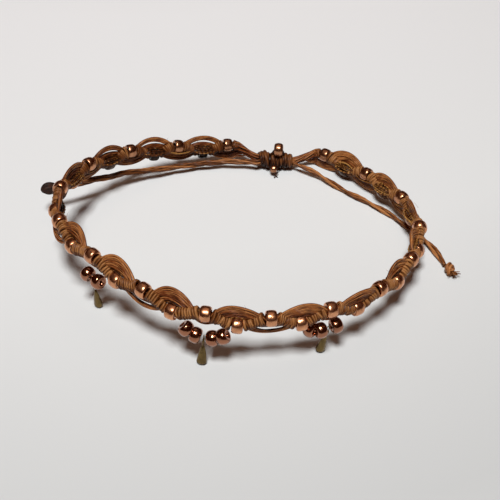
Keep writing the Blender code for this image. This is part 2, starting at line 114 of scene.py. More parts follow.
def tangents(paths: Array, closed: bool = False) -> Array:
    """Unit directions along paths by stations by three, closed or open.

    Args:
        paths: Points, as paths by stations by three.
        closed: Whether each path ends where it begins.

    Returns:
        Directions of the same shape.
    """
    if closed:
        return unit(np.roll(paths, -1, axis=1) - np.roll(paths, 1, axis=1))
    return unit(np.gradient(paths, axis=1))


def carried(along: Array, first: Array) -> Array:
    """Directions square to paths, carried along them without turning.

    Args:
        along: Unit tangents, as paths by stations by three.
        first: A direction for each path, about square to its start.

    Returns:
        Unit vectors square to the tangents, of the same shape.
    """
    across = np.empty_like(along)
    last = np.broadcast_to(first, along[:, 0].shape)
    for i in range(along.shape[1]):
        last = unit(last - np.sum(last * along[:, i], axis=-1, keepdims=True) * along[:, i])
        across[:, i] = last
    return across


@dataclass(frozen=True)
class Ply:
    """Twist of a cord: number of plies, how deep the grooves are as a share, and the lay length."""

    count: int
    depth: float
    lay: float


@dataclass
class Patch:
    """Part of a mesh: points, four-sided faces, end faces, a UV for each quad corner and a tint.

    U is the distance along a cord in millimetres and V the share of a turn round it.
    """

    points: Array
    quads: Array
    ends: Array
    uv: Array
    tint: Array


def woven(points: Array, reach: Array, closed: bool, tint: Array, flipped: bool = False) -> Patch:
    """Faces and UVs over a grid of points: rows along each piece and a closed ring across.

    Args:
        points: Pieces by rows by corners by three.
        reach: Distance along each piece at its rows, with one more where it is closed.
        closed: Whether the last row joins the first.
        tint: Light or dark lot, also painted light and shade, of each piece or of each piece and
            row.
        flipped: Whether the faces run the other way round.

    Returns:
        The grid as one patch, with a face on each open end.
    """
    count, stations, sides = points.shape[:3]
    index = np.arange(count * stations * sides).reshape(count, stations, sides)
    rows = np.arange(stations if closed else stations - 1)
    near, far = index[:, rows], index[:, (rows + 1) % stations]
    order = [0, 3, 2, 1] if flipped else [0, 1, 2, 3]
    corners = (near, np.roll(near, -1, axis=2), np.roll(far, -1, axis=2), far)
    quads = np.stack(corners, axis=-1)[..., order]
    here, there = reach[:, rows, None] / MM, reach[:, rows + 1, None] / MM
    left = np.arange(sides) / sides
    right = left + 1.0 / sides
    u = np.stack([np.broadcast_to(v, near.shape) for v in (here, here, there, there)], axis=-1)
    v = np.stack([np.broadcast_to(v, near.shape) for v in (left, right, right, left)], axis=-1)
    ends = np.zeros((0, sides), dtype=int)
    if not closed:
        ends = np.concatenate([index[:, 0, ::-1], index[:, -1]])
    lots = np.broadcast_to(np.asarray(tint, dtype=float).reshape(count, -1), (count, stations))
    return Patch(points.reshape(-1, 3), quads.reshape(-1, 4), ends,
                 np.stack([u[..., order], v[..., order]], axis=-1).reshape(-1, 2),
                 np.repeat(lots.ravel(), sides))


def tubes(
    paths: Array,
    radius: float | Array,
    sides: int,
    first: Array = UP,
    across: Array | None = None,
    closed: bool = False,
    ply: Ply | None = None,
    flatten: float = 1.0,
    tint: Array | None = None,
) -> Patch:
    """Round cords along paths: every station gets a ring square to its path.

    A ring's point is path + across cos(a) r + over sin(a) r flatten, and with a twist r also
    swells by depth cos(count a - turn along / lay).

    Args:
        paths: Points, as paths by stations by three.
        radius: Radius, or one for each path and station.
        sides: Corners of a ring.
        first: A start direction for rings, for each path.
        across: Directions of the ring's first corner, where they are known.
        closed: Whether each path ends where it begins.
        ply: Twist of the cord.
        flatten: Share of the radius kept square to across.
        tint: Light or dark lot from 0 to 1, also painted light and shade, of each path or of each
            path and station.

    Returns:
        The cords as one patch.
    """
    along = tangents(paths, closed)
    if across is None:
        across = carried(along, first)
    over = np.cross(along, across)
    length = measured(paths)
    angle = circle(sides)
    size = np.broadcast_to(np.asarray(radius, dtype=float), length.shape)[..., None]
    size = np.repeat(size, sides, axis=-1)
    if ply is not None:
        wave = np.cos(ply.count * angle - TURN * length[..., None] / ply.lay)
        size = size * (1.0 + ply.depth * wave)
    points = (
        paths[:, :, None, :]
        + across[:, :, None, :] * (size * np.cos(angle))[..., None]
        + over[:, :, None, :] * (size * np.sin(angle) * flatten)[..., None]
    )
    reach = np.concatenate([length, length[:, -1:] + length[:, 1:2]], axis=1)
    return woven(points, reach, closed, np.full(len(paths), 0.5) if tint is None else tint)


def turned(centres: Array, axes: Array, profile: Array, sides: int, tint: Array) -> Patch:
    """Lathed rings: a closed profile of (offset, radius) carried round each axis.

    Args:
        centres: Middle of each piece.
        axes: Axis of each piece.
        profile: Offsets along the axis and radii, one pair a row, in order round the section.
        sides: Corners round the axis.
        tint: Light or dark lot of each piece, also painted shade, from 0 to 1.

    Returns:
        The pieces as one patch.
    """
    axes = unit(axes)
    helper = np.where(np.abs(axes[:, 2:3]) < 0.8, [[0.0, 0.0, 1.0]], [[1.0, 0.0, 0.0]])
    across = unit(np.cross(axes, helper))
    over = np.cross(axes, across)
    angle = circle(sides)[:, None]
    ring = across[:, None] * np.cos(angle) + over[:, None] * np.sin(angle)
    points = (
        centres[:, None, None]
        + axes[:, None, None] * profile[None, :, None, :1]
        + ring[:, None] * profile[None, :, None, 1:]
    )
    reach = np.tile(measured(np.vstack([profile, profile[:1]])), (len(axes), 1))
    return woven(points, reach, True, tint, flipped=True)


def made(name: str, patches: Sequence[Patch], finish: Material, slot: str,
         *solids: str) -> Object:
    """One smooth piece of several patches, which rides on the body in its solids' place.

    Args:
        name: Name of the piece.
        patches: Its parts.
        finish: Its material.
        slot: The record's material slot; not used.
        solids: Solids that it stands for.

    Returns:
        The object, at the origin.
    """
    starts = np.cumsum([0] + [len(p.points) for p in patches])
    points = np.concatenate([p.points for p in patches])
    loops, totals, coords = [], [], []
    for patch, start in zip(patches, starts):
        loops += [(patch.quads + start).ravel(), (patch.ends + start).ravel()]
        totals += [np.full(len(patch.quads), 4), np.full(len(patch.ends), patch.ends.shape[1])]
        coords += [patch.uv, np.zeros((patch.ends.size, 2))]
    corner = np.concatenate(loops)
    total = np.concatenate(totals)
    mesh = bpy.data.meshes.new(name)
    mesh.vertices.add(len(points))
    mesh.loops.add(len(corner))
    mesh.polygons.add(len(total))
    mesh.vertices.foreach_set("co", points.ravel())
    mesh.loops.foreach_set("vertex_index", corner)
    mesh.polygons.foreach_set("loop_start", np.concatenate([[0], np.cumsum(total)[:-1]]))
    mesh.polygons.foreach_set("use_smooth", np.ones(len(total), dtype=bool))
    layer = mesh.uv_layers.new(name="Lay")
    layer.uv.foreach_set("vector", np.concatenate(coords).ravel())
    # The lot is the tone of each point: uneven dye and also painted light and shade, which the
    # finishes turn into colour.
    lot = mesh.attributes.new("lot", "FLOAT", "POINT")
    lot.data.foreach_set("value", np.concatenate([p.tint for p in patches]))
    mesh.update(calc_edges=True)
    mesh.validate()
    mesh.materials.append(finish)
    item = bpy.data.objects.new(name, mesh)
    bpy.context.scene.collection.objects.link(item)
    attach(item, "root")
    if solids:
        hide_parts(*solids)
    return item


def linear(code: str) -> tuple[float, float, float, float]:
    """Linear colour of an sRGB hex value.

    Args:
        code: The value, as #RRGGBB.

    Returns:
        Red, green, blue and an alpha of one.
    """
    parts = [int(code[i:i + 2], 16) / 255.0 for i in (1, 3, 5)]
    values = [p / 12.92 if p <= 0.04045 else ((p + 0.055) / 1.055) ** 2.4 for p in parts]
    return (values[0], values[1], values[2], 1.0)


def node(tree: Tree, kind: str, settings: dict[str, Any] | None = None,
         feeds: dict[Any, Any] | None = None) -> bpy.types.Node:
    """Adds a node, with its settings, and with values or links on its inputs.

    Args:
        tree: Node tree it goes into.
        kind: Blender's type name.
        settings: Attributes of the node.
        feeds: Input name or number to a value, to the output socket that feeds it, or to a node
            whose first output does.

    Returns:
        The node.
    """
    item = tree.nodes.new(kind)
    for key, value in (settings or {}).items():
        setattr(item, key, value)
    for key, value in (feeds or {}).items():
        if isinstance(value, bpy.types.Node):
            value = value.outputs[0]
        if isinstance(value, bpy.types.NodeSocket):
            tree.links.new(value, item.inputs[key])
        else:
            item.inputs[key].default_value = value
    return item


def ramp(tree: Tree, fac: Any, stops: Iterable[tuple[float, str]]) -> bpy.types.Node:
    """A colour ramp through (place, hex colour) stops.

    Args:
        tree: Node tree it goes into.
        fac: What feeds it.
        stops: Places and colours; the first two are those that a new ramp has.

    Returns:
        The ramp's node.
    """
    item = node(tree, "ShaderNodeValToRGB", {}, {"Fac": fac})
    points = item.color_ramp.elements
    for i, (place, code) in enumerate(stops):
        point = points[i] if i < 2 else points.new(place)
        point.position = place
        point.color = linear(code)
    return item


@dataclass(frozen=True)
class Finish:
    """A named finish; each kind says in surface() what feeds its Principled shader."""

    name: str

    def surface(self, tree: Tree, where: Any) -> dict[str, Any]:
        """Inputs of the shader, from nodes that read where, the Object coordinates."""
        raise NotImplementedError

    def material(self) -> Material:
        """The finish as a material.

        Returns:
            A material of one Principled shader and what feeds it.
        """
        material = bpy.data.materials.new(self.name)
        material.use_nodes = True
        tree = material.node_tree
        tree.nodes.clear()
        where = node(tree, "ShaderNodeTexCoord").outputs["Object"]
        shader = node(tree, "ShaderNodeBsdfPrincipled", {}, self.surface(tree, where))
        node(tree, "ShaderNodeOutputMaterial", {}, {"Surface": shader})
        return material


@dataclass(frozen=True)
class WaxedCord(Finish):
    """Twisted polyester cord drawn through wax: satin, with fine plies and uneven dye.

    The lay and the groove are in millimetres, and fibre is how many fibres show round a cord,
    fewer than the real ones so that they still show in the render.
    """

    deep: str = "#1E0802"
    body: str = "#6C3412"
    bright: str = "#BC7E48"
    plies: int = 3
    lay: float = 3.2
    groove: float = 0.09
    fibre: float = 14.0
    contact_shade: float = 0.34

    def surface(self, tree: Tree, where: Any) -> dict[str, Any]:
        """Dye by patch and by lot, where the lot also carries painted light and shade, painted
        shade in the grooves between plies and where a cord touches its neighbours, and a bump of
        plies and fibres.

        Args:
            tree: The material's node tree.
            where: Socket of the Object coordinates.

        Returns:
            Inputs of the shader.
        """
        uv = node(tree, "ShaderNodeUVMap", {"uv_map": "Lay"})
        split = node(tree, "ShaderNodeSeparateXYZ", {}, {0: uv})
        lot = node(tree, "ShaderNodeAttribute", {"attribute_name": "lot"}).outputs["Fac"]
        turn = node(tree, MATH, TIMES, {0: split.outputs["Y"], 1: TURN * self.plies})
        slant = node(tree, MATH, SUM, {0: split.outputs["X"], 1: TURN / self.lay, 2: turn})
        wave = node(tree, MATH, SINE, {0: slant})
        # The ply wave darkens the grooves between plies, a painted shade, and also gives the bump
        # its height.
        plies = node(tree, "ShaderNodeMapRange", {}, {0: wave, 1: -1.0, 2: 1.0})
        # Fibres run along the cord, so the noise is stretched along U and fine round V.
        stretched = node(tree, "ShaderNodeVectorMath", TIMES, {0: uv, 1: (0.9, self.fibre, 1.0)})
        moved = node(tree, "ShaderNodeVectorMath", {"operation": "ADD"}, {0: stretched, 1: lot})
        fibres = node(tree, NOISE, {}, {"Vector": moved, "Scale": 1.0, "Detail": 3.0})
        # Dye takes unevenly over two or three millimetres.
        dye = node(tree, NOISE, {},
                   {"Vector": where, "Scale": 420.0, "Detail": 3.0, "Roughness": 0.6})
        # Painted shade where a cord touches its neighbours, a quarter turn to each side.
        side = node(tree, MATH, TIMES, {0: split.outputs["Y"], 1: TURN})
        side = node(tree, MATH, SINE, {0: side})
        side = node(tree, MATH, {"operation": "POWER"}, {0: side, 1: 6.0})
        mix: Any = -0.12
        for part, weight, held in ((fibres, 0.55, False), (dye, 0.40, False), (lot, 0.38, False),
                                   (plies, 0.16, True), (side, -self.contact_shade, True)):
            mix = node(tree, MATH, {**SUM, "use_clamp": held}, {0: part, 1: weight, 2: mix})
        height = node(tree, MATH, SUM, {0: fibres, 1: 0.45, 2: plies})
        return {
            "Base Color": ramp(tree, mix, [(0.24, self.deep), (0.86, self.bright),
                                           (0.58, self.body)]),
            "Roughness": 0.42,
            "Coat Weight": 0.02,
            "Coat Roughness": 0.35,
            "Specular IOR Level": 0.16,
            "Normal": node(tree, "ShaderNodeBump", {},
                           {"Height": height, "Strength": 0.8, "Distance": self.groove * MM}),
        }


@dataclass(frozen=True)
class PlatedBead(Finish):
    """Copper or bronze plate over a turned brass bead: polished, tarnished a little by handling."""

    bright: str
    tarnish: str
    roughness: float
    cover: float = 0.5
    lacquer: float = 0.3
    # Colour of the painted shade on beads of a low lot.
    painted_shade: str = "#180A05"

    def surface(self, tree: Tree, where: Any) -> dict[str, Any]:
        """Metal with a patchy tarnish, fine handling marks and a faint unevenness of the plate.

        Args:
            tree: The material's node tree.
            where: Socket of the Object coordinates.

        Returns:
            Inputs of the shader.
        """
        patch = node(tree, NOISE, {},
                     {"Vector": where, "Scale": 900.0, "Detail": 4.0, "Roughness": 0.65})
        plate = ramp(tree, patch, [(0.75 - self.cover * 0.5, self.bright), (1.0, self.tarnish)])
        # A bead of a low lot is painted darker all over, as painted shade on the beads at the back
        # of the band and in the knot.
        lot = node(tree, "ShaderNodeAttribute", {"attribute_name": "lot"}).outputs["Fac"]
        mix = node(tree, "ShaderNodeMix", {"data_type": "RGBA"},
                   {0: lot, 6: linear(self.painted_shade), 7: plate})
        # Small dents about 0.8 mm apart break up the highlight of each bead.
        marks = node(tree, NOISE, {},
                     {"Vector": where, "Scale": 1250.0, "Detail": 2.5, "Roughness": 0.45})
        return {
            "Base Color": mix.outputs[2],
            "Metallic": 1.0,
            "Roughness": node(tree, "ShaderNodeMapRange", {},
                              {0: patch, 1: 0.3, 2: 0.8,
                               3: self.roughness * 0.75, 4: self.roughness * 1.5}),
            "Coat Weight": self.lacquer,
            "Coat Roughness": 0.10,
            "Normal": node(tree, "ShaderNodeBump", {},
                           {"Height": marks, "Strength": 0.5, "Distance": 0.16 * MM}),
        }


@dataclass(frozen=True)
class MeltedCord(Finish):
    """Waxed cord ends melted to a hard knob: dark, dull and drawn out along the cords."""

    char: str = "#150B07"
    brown: str = "#402416"

    def surface(self, tree: Tree, where: Any) -> dict[str, Any]:
        """Charred brown with lumps a fraction of a millimetre wide.

        Args:
            tree: The material's node tree.
            where: Socket of the Object coordinates.

        Returns:
            Inputs of the shader.
        """
        lumps = node(tree, NOISE, {}, {"Vector": where, "Scale": 1100.0, "Detail": 4.0})
        return {
            "Base Color": ramp(tree, lumps, [(0.35, self.char), (0.75, self.brown)]),
            "Roughness": 0.6,
            "Specular IOR Level": 0.25,
            "Normal": node(tree, "ShaderNodeBump", {},
                           {"Height": lumps, "Strength": 0.7, "Distance": 0.15 * MM}),
        }


@dataclass(frozen=True)
class SweepPaper(Finish):
    """Matt studio paper under the bracelet."""

    near: str = "#C5C8C8"
    middle: str = "#DEE1E1"
    far: str = "#ECEEEF"

    def surface(self, tree: Tree, where: Any) -> dict[str, Any]:
        """Pale and matt with a very slight tooth, and a painted falloff of light: darker at the
        front and on the right, paler towards the back of the sweep.

        The tone goes by the place y - 0.22 x - 3 x squared on the floor, in metres.

        Args:
            tree: The material's node tree.
            where: Socket of the Object coordinates.

        Returns:
            Inputs of the shader.
        """
        split = node(tree, "ShaderNodeSeparateXYZ", {}, {0: where})
        x, y = split.outputs["X"], split.outputs["Y"]
        bent = node(tree, MATH, SUM, {0: node(tree, MATH, TIMES, {0: x, 1: x}), 1: -3.0, 2: y})
        bent = node(tree, MATH, SUM, {0: x, 1: -0.22, 2: bent})
        # The ramp over this place is a painted falloff of light across the paper.
        place = node(tree, "ShaderNodeMapRange", {}, {0: bent, 1: -0.07, 2: 0.11})
        tooth = node(tree, NOISE, {}, {"Vector": where, "Scale": 900.0})
        return {
            "Base Color": ramp(tree, place, [(0.0, self.near), (1.0, self.far),
                                             (0.38, self.middle)]),
            "Roughness": 0.9,
            "Specular IOR Level": 0.2,
            "Normal": node(tree, "ShaderNodeBump", {},
                           {"Height": tooth, "Strength": 0.05, "Distance": 0.05 * MM}),
        }


@dataclass
class Course:
    """Lie of the band: its loop, its wave and where its beads sit, as the solids have them.

    The outline, the heights and the pitches are series of (multiple, cosine, sine).
    """

    radius: float = 33.794 * MM
    outline: tuple[tuple[int, float, float], ...] = (
        (2, -0.0502, 0.0034), (3, -0.0058, -0.0257), (4, 0.0193, -0.0094),
        (5, -0.0018, -0.0016), (6, -0.0063, -0.0058))
    height: float = 7.859 * MM
    heights: tuple[tuple[int, float, float], ...] = (
        (1, -0.4423, 0.3886), (2, -0.1318, 0.0425), (3, -0.0181, -0.0400))
    crest_count: int = 17
    pitches: tuple[tuple[int, float, float], ...] = (
        (1, -0.0119, 0.0040), (2, -0.0082, -0.0406), (3, 0.0245, 0.0227), (4, -0.0170, -0.0156))
    knot_length: float = 9.4 * MM
    knot_room: float = 7.005 * MM
    knot: float = -7.632 * MM
    wave: float = 0.80 * MM
    short_slope: float = 2.4 * MM
    sag_in: float = 4.2 * MM
    sag_down: float = 0.9 * MM
    sag_edge: float = 3.0
    sag_power: float = 1.2
    strand_drop: float = 7.0 * MM
    samples: int = 2880

    def __post_init__(self) -> None:
        """Works out the centre line, its outward directions and the runs of the beads."""
        turn = np.linspace(0.0, TURN, self.samples + 1)
        reach = self.radius * (1.0 + series(turn, self.outline))
        height = self.height * (1.0 + series(turn, self.heights))
        self.line = np.stack([-reach * np.sin(turn), reach * np.cos(turn), height], axis=1)
        self.run = measured(self.line[:, :2])
        self.length = float(self.run[-1])
        _, cosine, sine = self.heights[0]
        tilt = self.height / self.radius
        self.rise = unit(np.array([sine * tilt, -cosine * tilt, 1.0]))
        ahead = np.roll(self.line[:-1], -1, axis=0) - np.roll(self.line[:-1], 1, axis=0)
        out = unit(np.cross(ahead, self.rise))
        self.out = np.vstack([out, out[:1]])
        self.reach = self.knot_length / 2.0 + self.knot_room
        turn = (np.arange(self.crest_count - 1) + 0.5) * TURN / self.crest_count
        share = 1.0 + series(turn, self.pitches)
        pitch = share * (self.length - 2.0 * self.reach) / np.sum(share)
        self.crests = self.knot + self.reach + np.concatenate([[0.0], np.cumsum(pitch)])
        self.troughs = (self.crests[1:] + self.crests[:-1]) / 2.0
        self.beads = np.sort(np.concatenate([self.crests, self.troughs]))
        # The frame has the bracelet centred on the floor, so its first bead tells how far it moved.
        self.rest_at = np.zeros(3)
        self.rest_at = middle_of("crest_bead_01") - self.place(self.crests[:1], self.wave)[0]

    def outward(self, run: Array) -> Array:
        """Unit directions away from the wrist at runs along the band."""
        return unit(sampled(np.asarray(run) % self.length, self.run, self.out))

    def place(self, run: Array, rise: Array | float = 0.0, out: Array | float = 0.0) -> Array:
        """Points at runs along the band, a rise across it and a distance out from it.

        The band sags in and down round the sliding knot by a power of 1 - away cubed.

        Args:
            run: Runs, of any shape.
            rise: Rise, for all or for each.
            out: Distance outward, for all or for each.

        Returns:
            Points with one more axis than the runs.
        """
        run, rise, out = np.broadcast_arrays(run, rise, out)
        away = (run - self.knot + self.length / 2) % self.length - self.length / 2
        share = np.abs(away) / (self.reach - self.short_slope)
        sag = np.clip(1.0 - share**self.sag_edge, 0.0, 1.0) ** self.sag_power
        lift = (rise - self.sag_down * sag)[..., None]
        push = (out - self.sag_in * sag)[..., None]
        base = sampled(run % self.length, self.run, self.line)
        return base + self.rise * lift + self.outward(run) * push + self.rest_at

    def carrier_rise(self, run: Array) -> Array:
        """Rise of the carrier: a cosine through crests and troughs, low at the sliding knot.

        Args:
            run: Runs, of any shape.

        Returns:
            Rises of the same shape.
        """
        wave = self.wave * np.cos(
            np.interp(run, self.beads, np.arange(len(self.beads))) * math.pi)
        left = np.clip((self.crests[0] - run) / self.strand_drop, 0.0, 1.0)
        right = np.clip((run - self.crests[-1]) / self.strand_drop, 0.0, 1.0)
        return wave - self.wave * (1.0 - np.cos(math.pi * np.maximum(left, right))) / 2.0

    def laid(self, runs: Array, rise: Array | float, out: Array | float, radius: Array | float,
             tint: Array | float, sides: int = 8) -> Patch:
        """Round cords laid along the band, the first corner of their rings outward.

        Args:
            runs: Runs of one cord, or of several as rows.
            rise: Rise, for all or for each.
            out: Distance outward, for all or for each.
            radius: Radius of the cords.
            tint: Light or dark lot, also painted light and shade, held from 0 to 1.
            sides: Corners of a ring.

        Returns:
            The cords as one patch.
        """
        runs = np.atleast_2d(runs)
        return tubes(self.place(runs, rise, out), radius, sides, first=self.outward(runs[:, 0]),
                     tint=np.clip(tint, 0.0, 1.0))

    def wound(self, core: Array, paths: Array, radius: Array | float, tint: Array,
              sides: int = 8, closed: bool = True) -> Patch:
        """Cords wound round the band, the first corner of their rings away from its core.

        Args:
            core: A point of the band for each cord.
            paths: Points of the cords.
            radius: Radius of the cords.
            tint: Light or dark lot, also painted light and shade, held from 0 to 1.
            sides: Corners of a ring.
            closed: Whether each cord ends where it begins.

        Returns:
            The cords as one patch.
        """
        return tubes(paths, radius, sides, across=unit(paths - core[:, None]), closed=closed,
                     tint=np.clip(tint, 0.0, 1.0))


@dataclass(frozen=True)
class Fan:
    """Plies side by side in a bow: where the outer and inner ones sit and how far they reach."""

    outer: float
    inner: float
    wide: float
    narrow: float
    count: int
    slit: float
    skew: float = 0.0
    # How much painted shade the plies take at the back of the band.
    dark: float = 0.16


@dataclass
class KnottedBand:
    """Carrier cord, its half hitches, the arching and sagging cords and the strands of the knot."""

    course: Course
    ply: float = 0.37 * MM
    cord: float = 0.5 * MM
    bead_length: float = 2.0 * MM
    clearance: float = 0.12 * MM
    arch_top: float = 3.40 * MM
    arch_foot: float = 0.86 * MM
    arch_lean: tuple[float, ...] = (
        0.0, 0.3, 0.0, -0.3, -1.2, -1.2, -1.2, -1.3, -0.1, 0.2, 0.6, -1.0, -2.0, -1.0, 0.0, 0.6)
    arch_slit: tuple[float, ...] = (
        0.62, 0.62, 0.55, 0.3, 0.0, 0.0, 0.0, 0.0, 0.0, 0.0, 0.0, 0.0, 0.0, 0.12, 0.0, 0.0)
    arch_skew: tuple[float, ...] = (
        0.0, 0.2, 0.3, 0.2, 0.0, 0.0, -0.5, -0.6, -0.7, 0.4, 0.2, 0.0, 0.0, 0.0, 0.0, 0.0)
    arch_plies: int = 10
    swag_plies: int = 7
    swag_top: float = 0.92 * MM
    swag_foot: float = 2.66 * MM
    swag_lean: tuple[float, ...] = (
        0.0, 0.0, 0.0, 0.2, 0.5, 0.8, 0.0, 0.0, 0.0, -0.5, 0.0, -1.2, -0.8, 0.0, 0.0, 0.0, 0.0)
    swag_slit: tuple[float, ...] = (
        0.0, 0.1, 0.0, 0.1, 0.4, 0.5, 0.0, 0.6, 0.0, 0.6, 0.0, 0.5, 0.3, 0.1, 0.0, 0.0, 0.0)
    reach: tuple[float, float] = (4.75 * MM, 3.1 * MM)
    fullness: float = 0.78
    fan_share: float = 0.56
    hung_plies: tuple[float, float, float] = (0.3 * MM, 2.3 * MM, 2.05 * MM)
    edge_slip: float = 0.030 * MM
    end_slip: float = 0.12 * MM
    side_slip: float = 0.08 * MM
    weave: tuple[float, float] = (0.10 * MM, 0.05 * MM)
    foot_out: float = 0.30 * MM
    bead_reach: float = 1.68 * MM
    backing_reach: float = 2.7 * MM
    backing_foot: float = 0.55 * MM
    backing_share: float = 0.60
    backing_stations: int = 44
    lump_pitch: float = 0.95 * MM
    trough_turns: tuple[float, ...] = (84.0, 66.0, 48.0, 30.0, 12.0)
    crest_turns: tuple[float, ...] = (84.0, 69.0, 54.0)
    hung: tuple[int, ...] = (6, 8, 10)
    wraps: int = 8
    end_wraps: int = 3
    wrap_reach: tuple[float, float] = (0.68 * MM, 0.56 * MM)
    wrap_slant: float = 0.36 * MM
    wrap_drift: float = 0.06 * MM
    wobble: float = 0.10
    jitter_cap: float = 1.5
    shoulder: float = 0.75
    lift: float = 0.40
    # Painted light: how much paler the right side of the band is painted.
    right_painted_light: float = 0.50
    hitch_cord: float = 0.335 * MM
    carrier_share: float = 0.62
    carrier_stations: int = 700
    strand_share: float = 0.58
    strand_count: int = 6
    strand_stations: int = 70
    strand_spread: float = 0.60 * MM
    strand_start: float = 1.6 * MM
    stations: int = 34
    seed: int = 7

    def painted_light_and_shade(self, runs: Array, dark: float) -> Array:
        """Painted light and shade round the wrist: painted shade towards the back, by the knot, and
        painted light on the right side of the band.
        """
        out = self.course.outward(runs)
        return self.right_painted_light * np.maximum(0.0, out[:, :1]) ** 2.5 - dark * np.maximum(0.0, out[:, 1:2])

    def chord(self, runs: Array, share: Array) -> Array:
        """Rise of straight lines between the places where plies leave the carrier."""
        ends = self.course.carrier_rise(runs[:, [0, -1]])
        return ends[:, :1] + (ends[:, 1:] - ends[:, :1]) * (share + 1.0) / 2.0

    def fan(self, middle: float, lean: float, fan: Fan, rng: np.random.Generator) -> Patch:
        """Plies that bow away from the carrier past a bead and come back to it side by side.

        The rise is base + (edge - base) (1 - share squared) to the fullness, with share from -1
        to 1, and the ply leans out by the same bow.  The slit parts the outer half of the plies
        from the inner half.

        Args:
            middle: Run of the bead that the plies pass.
            lean: How far out the middle of the bow sits.
            fan: Lie of the plies.
            rng: Source of the small unevenness of hand work.

        Returns:
            The plies as one patch.
        """
        share = eased(self.stations)
        place = np.linspace(0.0, 1.0, fan.count)[:, None]
        jitter = rng.normal(0.0, 1.0, (fan.count, 5)).T[..., None]
        edge_jit, end_jit, side_jit, phase, depth = jitter
        sign = math.copysign(1.0, fan.inner - fan.outer)
        room = abs(fan.inner - fan.outer) - fan.slit
        edge = fan.outer + sign * (room * place + fan.slit * (place > 0.5))
        edge = edge + self.edge_slip * edge_jit
        half = fan.wide + (fan.narrow - fan.wide) * place + self.end_slip * end_jit
        runs = middle + self.side_slip * side_jit + share * half + fan.skew * (1.0 - share**2)
        chord = self.chord(runs, share)
        bow = (1.0 - share**2) ** self.fullness
        # Neighbours lie a little behind and before each other, and cross over once in a while.
        weave = self.weave[0] * np.sin(2.2 * share + 2.0 * phase) + self.weave[1] * depth
        out = (lean * (1.0 - 0.45 * place) + weave) * bow
        out = out + self.foot_out * (1.0 - bow) * (1 - place)
        # Outer plies are painted paler than inner ones, painted light outside the bow and painted
        # shade inside it, and all are painted darker where they leave the carrier, as painted
        # shade.
        tint = 0.86 - 0.66 * place + 0.17 * rng.normal(size=(fan.count, 1)) - 0.35 * share**6
        tint = tint + self.painted_light_and_shade(np.array([middle]), fan.dark)
        return self.course.laid(runs, chord + (edge - chord) * bow, out, self.ply * self.fan_share,
                                tint)

    def arches(self) -> list[Patch]:
        """Plies of the working cords in an arch over every trough bead.

        Returns:
            A patch for each arch.
        """
        rng = np.random.default_rng(self.seed)
        top = self.arch_top - self.ply / 2
        rows = zip(self.course.troughs, self.arch_lean, self.arch_slit, self.arch_skew)
        return [self.fan(middle, lean * MM, Fan(top, self.arch_foot, *self.reach,
                                                self.arch_plies, slit * MM, skew * MM), rng)
                for middle, lean, slit, skew in rows]

    def swags(self) -> list[Patch]:
        """Plies in a swag under every crest bead; the outer ones are left off where beads hang.

        Returns:
            A patch for each swag.
        """
        rng = np.random.default_rng(self.seed + 1)
        foot = self.ply / 2 - self.swag_foot
        patches = []
        rows = zip(self.course.crests, self.swag_lean, self.swag_slit)
        for i, (middle, lean, slit) in enumerate(rows):
            if i in self.hung:
                depth, wide, narrow = self.hung_plies
                fan = Fan(-self.swag_top - depth, -self.swag_top, wide, narrow, 2, 0.0)
            else:
                fan = Fan(foot, -self.swag_top, *self.reach, self.swag_plies, slit * MM,
                          dark=0.42)
            patches.append(self.fan(middle, lean * MM, fan, rng))
        return patches

    def backing(self, beads: Array, side: float, turns: Sequence[float], lumps: float,
                rng: np.random.Generator) -> Patch:
        """Plies that cross behind a row of beads on the wrist side.

        At a bead a ply lies on a circle round it, at one of the turns from straight above or below
        to level with it, and it runs back to the carrier by the same bow as the fans.

        Args:
            beads: Runs of the beads.
            side: 1 to pass over trough beads, -1 to pass under crest beads.
            turns: Places on the circle, in degrees from level.
            lumps: How far the plies swell into the bumps of the hitches' inner side, as a share,
                and how much paler each bump is painted, a painted highlight.
            rng: Source of the small unevenness of hand work.

        Returns:
            The plies as one patch.
        """
        share = eased(self.backing_stations)
        middles = np.repeat(beads, len(turns))[:, None]
        angle = np.radians(np.tile(turns, len(beads)))[:, None]
        tilt, end_jit, phase_jit, pitch = rng.normal(0.0, 1.0, (len(middles), 4)).T[..., None]
        angle = angle + 0.07 * tilt
        runs = middles + share * (self.backing_reach + 0.15 * MM * end_jit)
        chord = self.chord(runs, share)
        bow = (1.0 - share**2) ** 0.6
        edge = side * (self.bead_reach * np.sin(angle) - self.course.wave)
        out = -(self.backing_foot * (1.0 - bow) + self.bead_reach * np.cos(angle) * bow)
        out = out + 0.06 * MM * np.sin(3.0 * share + phase_jit * 2.0) * bow
        phase = (runs - middles) / self.lump_pitch * TURN * (1.0 + 0.2 * pitch) + 3.0 * phase_jit
        wave = 0.65 * np.cos(phase) + 0.35 * np.cos(1.7 * phase + 4.0 * end_jit)
        # The tint carries painted light and shade: darker at the back and paler on the right of the
        # band, paler on each bump and darker between bumps.
        tint = 0.40 + self.painted_light_and_shade(middles[:, 0], 0.15) + 0.24 * pitch + lumps * wave
        return self.course.laid(runs, chord + (edge - chord) * bow, out,
                                self.ply * self.backing_share * (1.0 + lumps * wave), tint)

    def backings(self) -> list[Patch]:
        """Plies behind the trough beads and behind the lower part of the crest beads."""
        rng = np.random.default_rng(self.seed + 4)
        return [self.backing(self.course.troughs, 1.0, self.trough_turns, 0.36, rng),
                self.backing(self.course.crests[1:-1], -1.0, self.crest_turns, 0.04, rng)]

    def hitches(self) -> Patch:
        """Slanted turns of cord round the carrier, eight to a slope, each closed on itself.

        A turn is carrier + rise reach_up sin(a) + out reach_out cos(a), and it slants along the
        run by a sine of a, so that neighbours lie side by side as double half hitches do.

        Returns:
            The turns as one patch.
        """
        rng = np.random.default_rng(self.seed + 2)
        beads = self.course.beads
        lip = self.bead_length / 2 + self.clearance + self.cord / 2
        share = np.linspace(0.0, 1.0, self.wraps)
        slopes = beads[:-1, None] + lip + share * (np.diff(beads)[:, None] - 2 * lip)
        pitch = float(np.mean(np.diff(slopes, axis=1))) * np.arange(self.end_wraps)
        slope = np.arange(len(beads) - 1)
